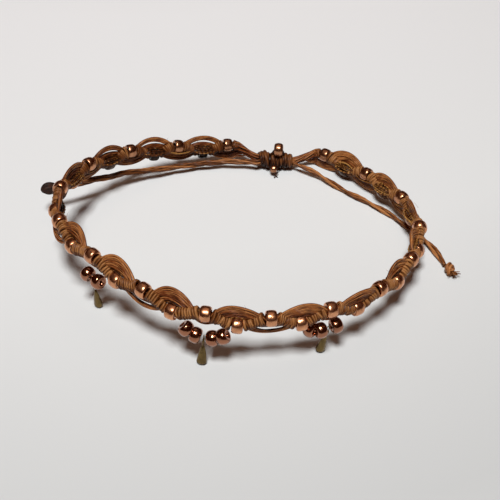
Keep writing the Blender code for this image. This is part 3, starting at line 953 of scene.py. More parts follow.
        # Hitches are tallest beside the crest beads, where the arch's cords are tied in, and
        # the ones next to a trough bead lift a little to meet the arch.
        near = np.stack([1.0 - share, share])[slope % 2]
        swell = (1.0 + self.shoulder * near**1.5 + self.lift * (1.0 - near) ** 3).ravel()
        swell = np.concatenate([swell, np.full(2 * self.end_wraps, 1.1)])[:, None]
        middles = np.concatenate([slopes.ravel(), beads[-1] + lip + pitch, beads[0] - lip - pitch])
        lean = np.concatenate([np.repeat((-1.0) ** slope, self.wraps),
                               np.repeat([1.0, -1.0], self.end_wraps)])[:, None]
        count, cap = len(middles), self.jitter_cap
        angle = circle(20)
        wobble = 1.0 + self.wobble * np.clip(rng.normal(size=(count, 3)), -cap, cap)
        slant = self.wrap_slant * lean * (3.0 * wobble[:, :1] - 2.0)
        drift = self.wrap_drift * np.clip(rng.normal(size=(count, 1)), -cap, cap)
        runs = middles[:, None] + slant * np.sin(angle) + drift * np.cos(angle)
        # The cord crosses over itself on the inner side, which makes a small bump there.
        bump = np.clip(-np.cos(angle - 0.45 * lean), 0.0, 1.0) ** 5
        bump = 1.0 + bump * np.clip(0.30 + 0.22 * rng.normal(size=(count, 1)), 0.0, 0.7)
        up = self.wrap_reach[0] * swell * wobble[:, 1:2] * np.sin(angle)
        out = self.wrap_reach[1] * swell**0.5 * wobble[:, 2:3] * np.cos(angle) * bump
        paths = self.course.place(runs, self.course.carrier_rise(runs) + up, out)
        core = self.course.place(middles, self.course.carrier_rise(middles))
        # The tint carries painted light and shade: darker at the back and paler on the right of the
        # band, and paler at the top of each turn, a painted highlight.
        tint = (0.50 + self.painted_light_and_shade(middles, 0.20) + 0.18 * rng.normal(size=(count, 1))
                + 0.20 * np.sin(angle))
        return self.course.wound(core, paths, self.hitch_cord, tint)

    def carrier_cord(self) -> Patch:
        """Carrier cord from one side of the sliding knot round to the other, inside the hitches."""
        slope = self.course.short_slope
        runs = np.linspace(self.course.crests[0] - slope, self.course.crests[-1] + slope,
                           self.carrier_stations)
        return self.course.laid(runs, self.course.carrier_rise(runs), 0.0,
                                self.cord * self.carrier_share, 0.1)

    def knot_strands(self) -> Patch:
        """Cords from the last hitches on one side, through the sliding knot to the other.

        Returns:
            The cords as one patch.
        """
        course, count, stations = self.course, self.strand_count, self.strand_stations
        runs = np.linspace(course.crests[-1] + self.strand_start,
                           course.crests[0] + course.length - self.strand_start, stations)
        rng = np.random.default_rng(self.seed + 3)
        share = np.linspace(-1.0, 1.0, stations)
        turn = circle(count)[:, None] + 1.6 * np.sin(math.pi * (share + 1.0))
        uneven = 1.0 + self.wobble * rng.normal(size=(count, 1))
        spread = self.strand_spread * uneven * (1.0 + 0.5 * np.abs(share) ** 6)
        back = np.where(runs > course.crests[-1] + course.reach, runs - course.length, runs)
        rise = course.carrier_rise(back) + 1.15 * spread * np.sin(turn)
        return course.laid(np.tile(runs, (count, 1)), rise, spread * np.cos(turn),
                           self.cord * self.strand_share, np.linspace(0.9, 0.2, count))

    def build(self, finish: Material, hitch_finish: Material,
              inner_finish: Material) -> list[Object]:
        """Makes the band's five pieces and puts them in the solid's place.

        Args:
            finish: Material of the arches, the swags and the strands.
            hitch_finish: Material of the carrier and its hitches.
            inner_finish: Material of the plies on the wrist side.

        Returns:
            The pieces.
        """
        hitches = [self.carrier_cord(), self.hitches()]
        return [
            made("carrier_and_hitches", hitches, hitch_finish, "waxed_cord", "knotted_band"),
            made("arching_cords", self.arches(), finish, "waxed_cord"),
            made("sagging_cords", self.swags(), finish, "waxed_cord"),
            made("backing_cords", self.backings(), inner_finish, "waxed_cord"),
            made("knot_strands", [self.knot_strands()], finish, "waxed_cord"),
        ]


def bead_profile(diameter: float, length: float, hole: float, squareness: float,
                 points: int = 26) -> Array:
    """Section of a drilled bead: a rounded box from the hole to the rim.

    With t round the section, the offset is half the length times cos t to a power and the radius
    is the middle of the wall plus half the wall times sin t to the same power.

    Args:
        diameter: Outer diameter.
        length: Length along the hole.
        hole: Diameter of the hole.
        squareness: The power; 1 is an ellipse and less is squarer.
        points: Points round the section.

    Returns:
        Offsets and radii, one pair a row.
    """
    t = circle(points)
    offset = length / 2 * signed_power(np.cos(t), squareness)
    wall = (diameter - hole) / 4 * signed_power(np.sin(t), squareness)
    return np.stack([offset, (diameter + hole) / 4 + wall], axis=1)


@dataclass
class BandBeads:
    """Copper beads on the crests and troughs, and the two beads of the sliding knot."""

    course: Course
    size: tuple[float, float, float] = (3.0 * MM, 2.0 * MM, 1.1 * MM)
    squareness: float = 0.75
    knot_squareness: float = 0.95
    # Lots below one paint a bead darker all over: painted shade on the beads at the back of the
    # band and in the knot.
    knot_shading: float = 0.6
    trough_shading: dict[int, float] = field(default_factory=lambda: {
        0: 0.0, 1: 0.0, 2: 0.05, 3: 0.7, 13: 0.5, 14: 0.2, 15: 0.05})
    crest_shading: dict[int, float] = field(default_factory=lambda: {
        0: 0.55, 1: 0.55, 2: 0.6, 3: 0.8, 14: 0.8, 15: 0.7, 16: 0.55})
    small: tuple[float, float, float] = (1.8 * MM, 1.4 * MM, 0.7 * MM)
    knot_thickness: float = 3.6 * MM
    clearance: float = 0.15 * MM
    top_shift: float = 0.6 * MM
    top_turn: float = math.radians(16)
    small_spot: tuple[float, float, float] = (0.1 * MM, -0.7 * MM, -2.85 * MM)
    tilt: float = 0.06
    sides: int = 36
    seed: int = 21

    def row(self, kind: str, runs: Array, rise: float, painted_shade: dict[int, float],
            finish: Material) -> Object:
        """One row of beads on the band, each a little askew as threaded beads are.

        Args:
            kind: Crest or trough.
            runs: Runs of the beads.
            rise: Rise of their middles.
            painted_shade: Lots of the beads that are painted darker than the others, as painted
                shade.
            finish: Their material.

        Returns:
            The beads as one object, in the place of as many solids.
        """
        rng = np.random.default_rng(self.seed + len(runs))
        half = self.size[1] / 2
        axes = unit(self.course.place(runs + half, rise) - self.course.place(runs - half, rise))
        axes = unit(axes + self.tilt * rng.normal(size=axes.shape))
        lots = np.ones(len(runs))
        lots[list(painted_shade)] = list(painted_shade.values())
        beads = turned(self.course.place(runs, rise), axes,
                       bead_profile(*self.size, self.squareness), self.sides, lots)
        solids = [f"{kind}_bead_{i:02d}" for i in range(1, len(runs) + 1)]
        return made(f"{kind}_beads", [beads], finish, "copper_beads", *solids)

    def build(self, finish: Material) -> list[Object]:
        """Makes the crest row, the trough row and the knot's two beads.

        Args:
            finish: Their material.

        Returns:
            The pieces.
        """
        course = self.course
        crests = self.row("crest", course.crests, course.wave, self.crest_shading, finish)
        troughs = self.row("trough", course.troughs, -course.wave, self.trough_shading, finish)
        knot = np.array([course.knot])
        half = course.knot_length / 2
        axis = course.place(knot + half) - course.place(knot - half)
        far = (self.knot_thickness + self.size[0]) / 2 + self.clearance
        top = course.place(knot - self.top_shift, far * math.cos(self.top_turn),
                           -far * math.sin(self.top_turn))
        low = course.place(knot + self.small_spot[0], *self.small_spot[1:])
        lot = np.array([self.knot_shading])
        profile = bead_profile(*self.size, self.knot_squareness)
        little = bead_profile(*self.small, self.knot_squareness, 22)
        pair = made("knot_beads", [turned(top, axis, profile, self.sides, lot),
                                   turned(low, axis, little, 28, lot)],
                    finish, "copper_beads", "knot_bead_top", "knot_bead_low")
        return [crests, troughs, pair]


@dataclass
class SlidingKnot:
    """Barrel of square knots round the strands, with its bights, its beads' ties and their ends."""

    course: Course
    thickness: float = 3.6 * MM
    cord: float = 0.85 * MM
    turns: int = 12
    slant: float = 0.38 * MM
    end_share: float = 0.86
    bights: tuple[float, ...] = (0.96, 1.02, 0.98, 0.92, 0.90, 1.22, 0.94)
    bight_cord: float = 1.00 * MM
    bight_inset: float = 1.4 * MM
    bight_depth: float = 0.34 * MM
    bight_slant: float = 0.5 * MM
    bight_span: tuple[float, float] = (20.0, 215.0)
    top_shift: float = 0.6 * MM
    low_shift: float = 0.1 * MM
    low_spot: tuple[float, float] = (-0.7 * MM, -2.85 * MM)
    thread: float = 0.18 * MM
    sides: int = 10
    seed: int = 33

    def barrel(self, rng: np.random.Generator) -> list[Patch]:
        """Close turns, slanted left and right by turns so that they cross as square knots do.

        Args:
            rng: Source of the small unevenness of hand work.

        Returns:
            The turns, and the sheath that closes the gaps between them, a dark sheet of painted
            shade.
        """
        course, count = self.course, self.turns
        share = np.linspace(-1.0, 1.0, count)
        middles = course.knot + share * (course.knot_length - self.cord) / 2
        swell = self.end_share + (1.0 - self.end_share) * (1.0 - share**2)
        reach = ((self.thickness - self.cord) / 2 * swell)[:, None]
        angle = circle(30)
        lean = self.slant * ((-1.0) ** np.arange(count))[:, None]
        wobble = 1.0 + 0.05 * np.clip(rng.normal(size=(count, 1)), -1.0, 1.0)
        runs = middles[:, None] + lean * np.sin(angle + 0.9 * rng.normal(size=(count, 1)))
        paths = course.place(runs, reach * wobble * np.sin(angle), reach * np.cos(angle))
        # Painted shade: the underside of the knot is painted darker and its top paler.
        tint = 0.30 + 0.15 * rng.normal(size=(count, 1)) + 0.55 * np.sin(angle)
        turns = course.wound(course.place(middles), paths, self.cord * 0.5, tint, self.sides)
        # The sheath has the lowest lot, so the gaps between turns show painted shade.
        rows = np.linspace(-0.46, 0.46, 24) * course.knot_length + course.knot
        return [turns, course.laid(rows, 0.0, 0.0, float(np.min(reach)) * 1.1, 0.0, 20)]

    def bight_row(self, rng: np.random.Generator) -> Patch:
        """Doubled cord over the knot's upper edge, one bight a knot, thinning down its sides.

        Args:
            rng: Source of the small unevenness of hand work.

        Returns:
            The bights as one patch.
        """
        course, count, stations = self.course, len(self.bights), 22
        share = np.linspace(-1.0, 1.0, count)
        middles = course.knot + share * (course.knot_length - self.bight_inset) / 2
        angle = np.radians(np.linspace(*self.bight_span, stations))
        reach = (self.thickness / 2 - self.bight_depth) * np.array(self.bights)[:, None]
        turn = angle + 0.35 * rng.normal(size=(count, 1))
        lean = angle + 0.6 * rng.normal(size=(count, 1))
        runs = middles[:, None] + self.bight_slant * np.cos(lean)
        paths = course.place(runs, reach * np.sin(turn), reach * np.cos(turn))
        thin = 0.35 + 0.65 * np.sin(np.linspace(0.0, math.pi, stations)) ** 0.7
        # The bights are painted paler towards the top, a painted highlight.
        tint = 0.62 + 0.16 * rng.normal(size=(count, 1)) + 0.25 * np.sin(angle)
        return course.wound(course.place(middles), paths, self.bight_cord / 2 * thin, tint,
                            self.sides, closed=False)

    def tie(self, shift: float, spot: tuple[float, float], root: tuple[float, float],
            span: float, radius: float) -> Patch:
        """Cord out of the knot, through a bead and back: root + (spot - root) (1 - share^4).

        Args:
            shift: Run of its middle from the knot's.
            spot: Rise and distance out of the bead.
            root: Rise and distance out of its ends in the knot.
            span: Half the run from end to end.
            radius: Its radius.

        Returns:
            The cord as a patch.
        """
        share = np.linspace(-1.0, 1.0, 30)
        rise, out = (a + (b - a) * (1.0 - share**4) for a, b in zip(root, spot))
        runs = self.course.knot + shift + span * share
        return self.course.laid(runs, rise, out, radius, 0.25, self.sides)

    def thread_ends(self) -> Patch:
        """Two thin ends of the small bead's thread, which hang from it to the floor.

        Returns:
            Both ends as one patch.
        """
        middle = middle_of("knot_bead_low")
        t = np.linspace(0.0, 1.0, 16)[:, None]
        sides = np.array([-1.0, 1.0])[:, None, None]
        paths = (middle + np.array([0.9, -0.1, 0.0]) * MM * sides
                 + np.array([0.5, -1.1, 0.0]) * MM * t
                 - np.array([1.35, 0.0, 0.0]) * MM * sides * t**1.5
                 - UP * (middle[2] - 0.14 * MM) * t**0.8)
        return tubes(paths, self.thread / 2, 6, tint=np.array([0.2, 0.5]))

    def build(self, finish: Material) -> list[Object]:
        """Makes the barrel, and its bights, ties and thread ends.

        Args:
            finish: Material of them all.

        Returns:
            The barrel, and the rest as one piece.
        """
        rng = np.random.default_rng(self.seed)
        run = np.array([self.course.knot - self.top_shift])
        spoke = middle_of("knot_bead_top") - self.course.place(run)[0]
        out = self.course.outward(np.array([self.course.knot]))[0]
        top = (float(np.dot(spoke, self.course.rise)), float(np.dot(spoke, out)))
        barrel = made("square_knots", self.barrel(rng), finish, "waxed_cord", "sliding_knot")
        ties = [
            self.bight_row(rng),
            self.tie(-self.top_shift, top, (1.0 * MM, -0.3 * MM), 1.9 * MM, 0.24 * MM),
            self.tie(self.low_shift, self.low_spot, (-0.5 * MM, -1.2 * MM), 1.6 * MM, 0.15 * MM),
            self.thread_ends(),
        ]
        return [barrel, made("knot_bights", ties, finish, "waxed_cord")]


@dataclass(frozen=True)
class Dangle:
    """One string of beads under a crest, with its drop: where it hangs and how it swings."""

    side: str
    crest: int
    depth: float
    fullness: float
    shift: float
    lean: float
    before: int
    after: int
    swing: tuple[float, float]


@dataclass
class BeadStrings:
    """Short threads of dark beads, each with a brass drop on a wire eye."""

    course: Course
    dangles: tuple[Dangle, ...] = (
        Dangle("left", 6, 5.6 * MM, 0.50, -0.8 * MM, 0.0, 1, 1, (0.3 * MM, 0.2 * MM)),
        Dangle("middle", 8, 5.6 * MM, 0.50, -0.6 * MM, 0.0, 2, 2, (-0.6 * MM, -0.9 * MM)),
        Dangle("right", 10, 4.4 * MM, 0.35, -2.8 * MM, -3.2 * MM, 2, 1, (-1.3 * MM, 0.0)),
    )
    end: float = 4.5 * MM
    carrier: float = 1.6 * MM
    clearance: float = 0.3 * MM
    diameter: float = 3.0 * MM
    length: float = 2.0 * MM
    hole: float = 0.36 * MM
    squareness: float = 0.86
    gap: float = 0.1 * MM
    eye_room: float = 1.1 * MM
    cord: float = 0.5 * MM
    wire: float = 0.30 * MM
    eye_inside: float = 1.1 * MM
    eye_dip: float = 0.35 * MM
    eye_width: float = 0.62
    hang_gap: float = 0.2 * MM
    foot: float = 2.05 * MM
    flatness: float = 0.78
    neck: float = 0.36 * MM
    drop_length: float = 4.15 * MM
    flare: float = 0.60
    tip: float = 0.55 * MM
    tip_radius: float = 0.02 * MM
    rim_lift: float = 0.35
    thread_share: float = 0.46
    sides: int = 36

    def line(self, dangle: Dangle) -> Array:
        """Sagging line of a string between the slopes beside its crest.

        Args:
            dangle: Which string.

        Returns:
            Its points, one a row.
        """
        share = eased(193)
        crest = float(self.course.crests[dangle.crest])
        ends = crest + np.array([-self.end, self.end])
        runs = np.interp(share, [-1.0, 0.0, 1.0], [ends[0], crest + dangle.shift, ends[1]])
        low = self.course.carrier_rise(ends) - self.carrier / 2 - self.clearance
        base = np.interp(runs, ends, low)
        bow = np.clip(1.0 - share**2, 0.0, 1.0) ** dangle.fullness
        hang = (self.course.wave - dangle.depth - base) * bow
        line = self.course.place(runs, base, dangle.lean * np.clip(-share, 0.0, 1.0))
        return line + np.outer(hang, UP)

    def string(self, dangle: Dangle, bronze: Material,
               cord: Material) -> tuple[list[Object], Array, Array]:
        """Beads and thread of one string.

        Args:
            dangle: Which string.
            bronze: Finish of the beads.
            cord: Finish of the thread.

        Returns:
            The two pieces, the point where the drop hangs, and the thread's direction there.
        """
        line = self.line(dangle)
        smooth = tangents(line[None])[0]
        length = measured(line)
        middle = float(length[np.argmin(line[:, 2])])
        pitch = self.length + self.gap
        first = (self.eye_room + self.length) / 2
        spots = np.array([middle - first - pitch * i for i in range(dangle.before)]
                         + [middle + first + pitch * i for i in range(dangle.after)])
        profile = bead_profile(self.diameter, self.length, self.hole, self.squareness)
        beads = turned(sampled(spots, length, line), sampled(spots, length, smooth), profile,
                       self.sides, np.ones(len(spots)))
        course = sampled(np.linspace(0.0, length[-1], 60), length, line)[None]
        # The thread runs on into the hitches that it leaves, past the carrier's underside.
        tips = course[:, [0, -1]] + UP * (self.clearance + self.carrier / 4)
        course = np.concatenate([tips[:, :1], course, tips[:, 1:]], axis=1)
        thread = tubes(course, self.cord * self.thread_share, 8, tint=np.array([0.1]))
        pieces = [made(f"dark_beads_{dangle.side}", [beads], bronze, "dark_bronze_beads",
                       f"bead_string_{dangle.side}"),
                  made(f"bead_thread_{dangle.side}", [thread], cord, "waxed_cord")]
        return pieces, sampled(middle, length, line), unit(sampled(middle, length, smooth))

    def drop(self, dangle: Dangle, hook: Array, thread: Array, brass: Material) -> Object:
        """Tapering drop on its wire eye, its foot on the floor.

        The radius grows from the neck to the foot by a power of the distance, and the foot is
        closed by a rounded tip.  The eye is a long loop, narrower than the ring and down into
        the body.

        Args:
            dangle: Which string it hangs on.
            hook: The point of the thread that it hangs on.
            thread: The thread's direction there.
            brass: Its finish.

        Returns:
            The drop and its eye as one object.
        """
        ring = self.eye_inside / 2
        foot = np.array([hook[0] + dangle.swing[0], hook[1] + dangle.swing[1], 0.0])
        down = unit(foot - hook)
        middle = hook + down * (ring - self.cord / 2 - self.hang_gap)
        reach = float(np.dot(foot - middle, down))
        neck = reach - self.drop_length
        t = np.linspace(0.0, 1.0, 26)
        shaft = neck + (reach - neck) * t
        share = np.clip(1.0 - (reach - shaft) / self.drop_length, 0.0, 1.0) ** self.flare
        radii = (self.neck + (self.foot - self.neck) * share) / 2
        close = np.clip((shaft - (reach - self.tip)) / self.tip, 0.0, 1.0)
        radii = radii * np.sqrt(np.maximum(1.0 - close**2.6, 0.0))
        radii[-1] = self.tip_radius
        # A leaning drop is drawn up its axis a little, so that its rim stays above the floor.
        lift = float(np.linalg.norm(dangle.swing)) * self.rim_lift / reach * self.foot
        path = (middle + np.outer(shaft - lift * t, down))[None]
        body = tubes(path, radii[None], 28, first=thread[None], flatten=self.flatness)
        turn = circle(32)
        tall = (neck - lift + self.eye_dip + ring) / 2
        loop = (np.outer(np.cos(turn), unit(np.cross(thread, down))) * ring * self.eye_width
                + np.outer(np.sin(turn), down) * tall)
        eye = tubes((middle + down * (tall - ring) + loop)[None], self.wire / 2, 12,
                    across=unit(loop)[None], closed=True)
        return made(f"tapered_drop_{dangle.side}", [body, eye], brass, "antique_brass",
                    f"brass_drop_{dangle.side}")

    def build(self, bronze: Material, brass: Material, cord: Material) -> list[Object]:
        """Makes every string with its drop.

        Args:
            bronze: Finish of the beads.
            brass: Finish of the drops.
            cord: Finish of the threads.

        Returns:
            The pieces.
        """
        items = []
        for dangle in self.dangles:
            pieces, hook, thread = self.string(dangle, bronze, cord)
            items += [*pieces, self.drop(dangle, hook, thread, brass)]
        return items


class TailEnd(Enum):
    """What closes a loose tail."""

    KNOB = "melted knob"
    TUFT = "overhand knot with a frayed tuft"


@dataclass
class LooseTail:
    """Loose tail out of the sliding knot: cords twisted together along a lying course."""

    name: str
    solid: str
    end_solid: str
    course: tuple[tuple[float, float, float], ...]
    ending: TailEnd
    rest_at: Array
    root_at: Array
    diameter: float = 1.4 * MM
    strands: int = 3
    lay: float = 19.0 * MM
    tightness: float = 1.0
    loosening: float = 0.4
    lot: float = 0.0
    pair_share: float = 0.50
    trio_share: float = 0.48
    strand_ply: Ply = Ply(3, 0.07, 2.2 * MM)
    root_bend: float = 0.9 * MM
    knob_radius: float = 1.27 * MM
    knob_ridges: Ply = Ply(5, 0.10, 8.0 * MM)
    tied_turns: tuple[tuple[float, float, float], ...] = (
        (-0.55, 0.5, 0.62), (0.35, -0.5, 0.66), (0.0, 0.9, 0.54))
    tied_cord: float = 0.84 * MM
    fibres: int = 18
    fibre_reach: tuple[float, float] = (0.8, 1.9)
    fibre_sizes: tuple[float, float] = (0.06 * MM, 0.17 * MM)
    fibre_floor: float = 0.18 * MM
    stations: int = 150
    seed: int = 5

    def path(self, count: int) -> Array:
        """Points at even distances along the smooth course, heights from the floor.

        Each span is a cubic that leaves and reaches its points at their slopes.

        Args:
            count: Number of points.

        Returns:
            The points, one a row.
        """
        points = np.array(self.course) * MM + self.rest_at * np.array([1.0, 1.0, 0.0])
        length = measured(points)
        slope = np.gradient(points, length, axis=0)
        at = np.linspace(0.0, length[-1], count)
        i = np.clip(np.searchsorted(length, at, side="right") - 1, 0, len(points) - 2)
        span = (length[i + 1] - length[i])[:, None]
        t = (at - length[i])[:, None] / span
        ease = t * t * (3.0 - 2.0 * t)
        lead = slope[i] * (t * (1.0 - t) ** 2) - slope[i + 1] * (t * t * (1.0 - t))
        return points[i] + (points[i + 1] - points[i]) * ease + lead * span

    def rooted(self, path: Array) -> Array:
        """The path with its way out of the knot before it, a curve of second degree.

        Args:
            path: Points of the tail, one a row.

        Returns:
            The longer path.
        """
        t = np.linspace(0.0, 1.0, 9)[:-1, None]
        bend = path[0] - unit(path[1] - path[0]) * self.root_bend
        way = self.root_at * (1.0 - t) ** 2 + bend * 2.0 * t * (1.0 - t) + path[0] * t**2
        return np.concatenate([way, path])

    def twisted(self, finish: Material) -> Object:
        """Strands that wind round the course, each itself a twisted cord.

        A strand is path + across r cos(turn) + over r sin(turn), with turn growing by one a lay,
        and r grows towards the end by the fourth power of the distance.

        Args:
            finish: Their material.

        Returns:
            The strands as one object.
        """
        rng = np.random.default_rng(self.seed)
        path = self.rooted(self.path(self.stations))
        along = tangents(path[None])
        across = carried(along, UP)[0]
        over = np.cross(along[0], across)
        length = measured(path)
        drift = 0.5 * np.sin(length / (9.0 * MM) + rng.uniform(0.0, TURN))
        turn = circle(self.strands)[:, None] + TURN * length / self.lay + drift
        turn = turn[..., None]
        radius = self.diameter / 2 * (self.pair_share if self.strands == 2 else self.trio_share)
        offset = (self.diameter / 2 - radius) * self.tightness
        offset = offset * (1.0 + self.loosening * (length / length[-1]) ** 4)[:, None]
        paths = path + offset * (across * np.cos(turn) + over * np.sin(turn))
        cords = tubes(paths, radius, 10, ply=self.strand_ply,
                      tint=self.lot + np.linspace(0.25, 0.75, self.strands))
        return made(self.name, [cords], finish, "waxed_cord", self.solid)

    def end_frame(self) -> tuple[Array, Array, float]:
        """Where the solid at the tail's end lies.

        Returns:
            The middle, the direction as a unit vector, and the half length.
        """
        path = self.path(self.stations)
        axis = unit(path[-1] - path[-4])
        middle = middle_of(self.end_solid)
        return middle, axis, float(np.dot(middle - path[-1], axis))

    def knob(self, finish: Material) -> Object:
        """Melted knob: blunt at the cord and drawn to a point, with the cords' ridges on it.

        The radius is the sine of t to a power that grows from the cord to the point.

        Args:
            finish: Its material.

        Returns:
            The knob.
        """
        middle, axis, half = self.end_frame()
        t = np.linspace(0.02, math.pi - 0.02, 28)
        path = (middle - np.outer(np.cos(t) * half, axis))[None]
        radius = self.knob_radius * np.sin(t) ** (0.70 + 0.30 * (1.0 - np.cos(t)))
        radius[[0, -1]] = 0.05 * MM
        knob = tubes(path, radius[None], 36, ply=self.knob_ridges)
        return made(self.end_solid + "_melted", [knob], finish, "waxed_cord", self.end_solid)

    def tuft(self, finish: Material) -> Object:
        """Overhand knot of slanted turns, then frayed fibres that fan out past it.

        A turn is a circle square to the tail, tilted along it by a sine, and a fibre runs
        straight ahead while it bends to its side by a power of the distance.

        Args:
            finish: Their material.

        Returns:
            The knot and its fibres as one object.
        """
        middle, axis, half = self.end_frame()
        rng = np.random.default_rng(self.seed + 9)
        side = unit(np.cross(UP, axis))
        angle = circle(26)
        ring = np.outer(np.cos(angle), side) + np.outer(np.sin(angle), np.cross(axis, side))
        paths = np.stack([
            middle + axis * shift * MM + reach * MM * ring
            + np.outer(lean * MM * np.sin(angle + shift * 3.0), axis)
            for shift, lean, reach in self.tied_turns])
        knot = tubes(paths, self.tied_cord / 2, 10, across=unit(paths - middle), closed=True,
                     tint=self.lot + np.array([0.3, 0.6, 0.45]))
        count = self.fibres
        t = np.linspace(0.0, 1.0, 10)
        fan = rng.normal(0.0, 0.50, (count, 2))
        reach = rng.uniform(*self.fibre_reach, count)[:, None] * MM
        spread = fan[:, :1] * side + np.abs(fan[:, 1:]) * 0.5 * UP
        fibres = (middle + axis * half * 0.4 + axis * (reach * t)[..., None]
                  + spread[:, None] * (reach * t**1.6)[..., None])
        fibres[..., 2] = np.maximum(fibres[..., 2], self.fibre_floor)
        thick = rng.choice(self.fibre_sizes, count)[:, None]
        fray = tubes(fibres, thick * (1.0 - 0.5 * t), 6, tint=rng.uniform(0.3, 1.0, count))
        return made(self.end_solid + "_tied", [knot, fray], finish, "waxed_cord", self.end_solid)

    def build(self, cord: Material, melted: Material) -> list[Object]:
        """Args:
            cord: Finish of the tail and of a tied end.
            melted: Finish of a melted end.

        Returns:
            The tail and its end.
        """
        tail = self.twisted(cord)
        end = self.knob(melted) if self.ending is TailEnd.KNOB else self.tuft(cord)
        return [tail, end]


@dataclass
class StrayFibres:
    """A few loose fibres of the cord that stand off the band."""

    course: Course
    count: int = 22
    radius: float = 0.035 * MM
    seed: int = 77

    def build(self, finish: Material) -> Object:
        """Makes thin hairs that leave an arch and curl away by powers of their length.

        Args:
            finish: Their material.

        Returns:
            The hairs as one object.
        """
        course, count = self.course, self.count
        rng = np.random.default_rng(self.seed)
        runs = rng.choice(course.troughs, count) + rng.uniform(-2.5, 2.5, count) * MM
        start = course.place(runs, rng.uniform(1.2, 3.0, count) * MM)
        t = np.linspace(0.0, 1.0, 12)
        reach = rng.uniform(0.8, 2.2, count)[:, None] * MM
        ahead = unit(course.place(runs + 0.5 * MM) - course.place(runs - 0.5 * MM))
        ahead = ahead * rng.choice([-1.0, 1.0], (count, 1))
        out = course.outward(runs) * rng.uniform(-0.8, 0.8, (count, 1))
        paths = (start[:, None] + ahead[:, None] * (reach * t)[..., None]
                 + out[:, None] * (reach * t**2)[..., None]
                 + course.rise * (0.5 * reach * t**1.7)[..., None])
        fibres = tubes(paths, self.radius * (1.0 - 0.5 * t), 4,
                       tint=rng.uniform(0.5, 1.0, count))
        return made("stray_fibres", [fibres], finish, "waxed_cord")


@dataclass
class Studio:
    """Floor, soft overhead light and camera at the photograph's viewing angle."""

    camera_at: tuple[float, float, float] = (2.0651 * MM, -149.3231 * MM, 124.7200 * MM)
    pitch: float = math.radians(39.958)
    field_of_view: float = math.radians(29.784)
    clip: tuple[float, float] = (5.0 * MM, 20.0)
    floor_size: float = 4.0
    light_lean: tuple[float, float] = (-0.055, -0.374)
    light_far: float = 0.9
    light_size: float = 0.22
    light_power: float = 8.4
    fill_at: tuple[float, float, float] = (-0.3, 0.5, 1.8)
    fill_size: float = 2.4
    fill_power: float = 0.05
    reflector_at: tuple[float, float, float] = (0.05, 0.30, 0.78)
    reflector_size: float = 0.58
    reflector_power: float = 0.50
    reflector_tint: str = "#FFE0C8"
    surround: str = "#3A1A0A"
    wall: str = "#55504C"

    def linked(self, name: str, data: Any) -> Object:
        """An object of some data, in the scene."""
        item = bpy.data.objects.new(name, data)
        bpy.context.scene.collection.objects.link(item)
        return item

    def floor(self, finish: Material) -> None:
        """Pale paper at the height the bracelet rests on.

        Args:
            finish: Its material.
        """
        half = self.floor_size / 2
        corners = [(-half, -half, 0.0), (half, -half, 0.0), (half, half, 0.0), (-half, half, 0.0)]
        mesh = bpy.data.meshes.new("paper_floor")
        mesh.from_pydata(corners, [], [(0, 1, 2, 3)])
        mesh.materials.append(finish)
        self.linked("paper_floor", mesh)

    def soft_light(self, name: str, spot: Vector, size: float, power: float,
                   tint: str = "#FFFFFF") -> None:
        """Square soft light aimed at the bracelet.

        Args:
            name: Name of the light.
            spot: Where it stands.
            size: Its side.
            power: Its power in watts.
            tint: Its colour.
        """
        data = bpy.data.lights.new(name, "AREA")
        data.color = linear(tint)[:3]
        data.shape = "SQUARE"
        data.size = size
        data.energy = power
        item = self.linked(name, data)
        item.location = spot
        item.rotation_euler = (-spot).to_track_quat("-Z", "Y").to_euler()

    def room(self) -> None:
        """A warm, dim room for the metal to mirror, and a grey wall past the paper's edge."""
        world = bpy.data.worlds.new("dim_room")
        world.use_nodes = True
        tree = world.node_tree
        seen = node(tree, "ShaderNodeLightPath").outputs["Is Camera Ray"]
        tone = node(tree, "ShaderNodeMix", {"data_type": "RGBA"},
                    {0: seen, 6: linear(self.surround), 7: linear(self.wall)})
        tree.links.new(tone.outputs[2], tree.nodes["Background"].inputs["Color"])
        bpy.context.scene.world = world

    def camera(self) -> None:
        """A level camera pitched down at the photograph's angle."""
        data = bpy.data.cameras.new("photograph")
        data.sensor_fit = "HORIZONTAL"
        data.angle = self.field_of_view
        data.clip_start, data.clip_end = self.clip
        item = self.linked("photograph", data)
        item.location = self.camera_at
        item.rotation_euler = (math.pi / 2 - self.pitch, 0.0, 0.0)
        bpy.context.scene.camera = item
        bpy.context.scene.view_settings.view_transform = "Standard"

    def build(self, finish: Material) -> None:
        """Sets the floor, the lights, the surround and the camera.

        Args:
            finish: Material of the floor.
        """
        self.floor(finish)
        aim = Vector((*self.light_lean, 1.0)).normalized()
        self.soft_light("overhead_softbox", aim * self.light_far, self.light_size,
                        self.light_power)
        self.soft_light("high_fill", Vector(self.fill_at), self.fill_size, self.fill_power)
        self.soft_light("rear_reflector", Vector(self.reflector_at), self.reflector_size,
                        self.reflector_power, self.reflector_tint)
        self.room()
        self.camera()


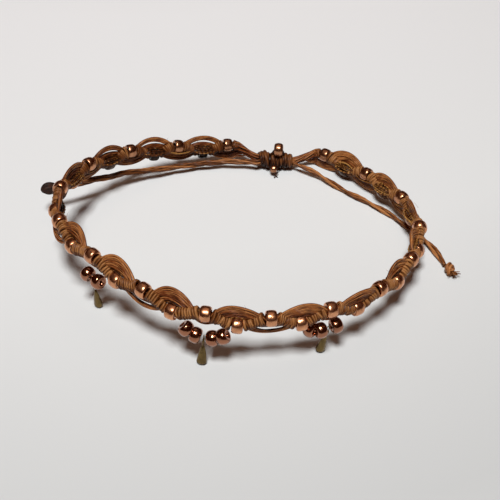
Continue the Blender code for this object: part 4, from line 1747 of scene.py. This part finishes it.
# Points of the tails' courses in millimetres, x and y before the bracelet was centred.
RIGHT_COURSE = (
    (12.1, 26.7, 2.0), (14.4, 25.4, 1.8), (17.8, 22.9, 1.2), (21.5, 19.3, 0.8),
    (25.7, 15.5, 0.75), (30.1, 11.4, 0.75), (35.1, 5.0, 0.75), (38.2, 0.3, 0.75),
    (40.7, -6.8, 0.75),
)
LEFT_COURSE = (
    (2.6, 27.4, 2.2), (0.0, 27.8, 2.1), (-4.2, 28.1, 1.9), (-10.4, 27.3, 1.8),
    (-20.1, 24.0, 2.6), (-25.3, 21.7, 3.5), (-31.3, 17.5, 4.8), (-37.3, 13.6, 6.0),
    (-39.8, 12.2, 6.4),
)
TAIL_ROOTS = np.array([-3.4, 3.4]) * MM


def main() -> None:
    """Builds every piece in order and logs the faces of each."""
    logging.basicConfig(level=logging.INFO, format="%(name)s: %(message)s")
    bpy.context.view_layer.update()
    course = Course()
    cord = WaxedCord("waxed_polyester_cord").material()
    hitch_cord = WaxedCord("waxed_hitch_cord", "#1C0802", "#603312", "#A87444",
                           contact_shade=0.16).material()
    inner_cord = WaxedCord("waxed_inner_cord", "#180601", "#5A2F10", "#BC8A4A",
                           contact_shade=0.40).material()
    knot_cord = WaxedCord("waxed_knot_cord", "#0E0401", "#34180A", "#744624",
                          contact_shade=0.20).material()
    tail_cord = WaxedCord("waxed_tail_cord", "#2C1408", "#683A1B", "#B67A48",
                          contact_shade=0.14).material()
    copper = PlatedBead("copper_plate", "#DE9E72", "#783820", 0.27, cover=0.7).material()
    bronze = PlatedBead("dark_bronze_plate", "#A26A4C", "#42200F", 0.18, lacquer=0.5).material()
    brass = PlatedBead("antique_brass", "#A0844A", "#4E3C1C", 0.30, cover=0.8).material()
    melted = MeltedCord("melted_cord_end").material()
    paper = SweepPaper("studio_paper").material()
    items = KnottedBand(course).build(cord, hitch_cord, inner_cord)
    items += BandBeads(course).build(copper)
    items += SlidingKnot(course).build(knot_cord)
    items += BeadStrings(course).build(bronze, brass, cord)
    roots = course.place(course.knot + TAIL_ROOTS)
    tails = (
        LooseTail("right_tail_strands", "right_tail", "right_tail_knot", RIGHT_COURSE,
                  TailEnd.TUFT, course.rest_at, roots[0], strands=2, lay=15.0 * MM,
                  tightness=0.8, lot=0.28),
        LooseTail("left_tail_strands", "left_tail", "left_tail_knob", LEFT_COURSE,
                  TailEnd.KNOB, course.rest_at, roots[1]),
    )
    for tail in tails:
        items += tail.build(tail_cord, melted)
    items.append(StrayFibres(course).build(cord))
    Studio().build(paper)
    for item in items:
        log.info("%s: %d faces", item.name, len(item.data.polygons))


if __name__ == "__main__":
    main()
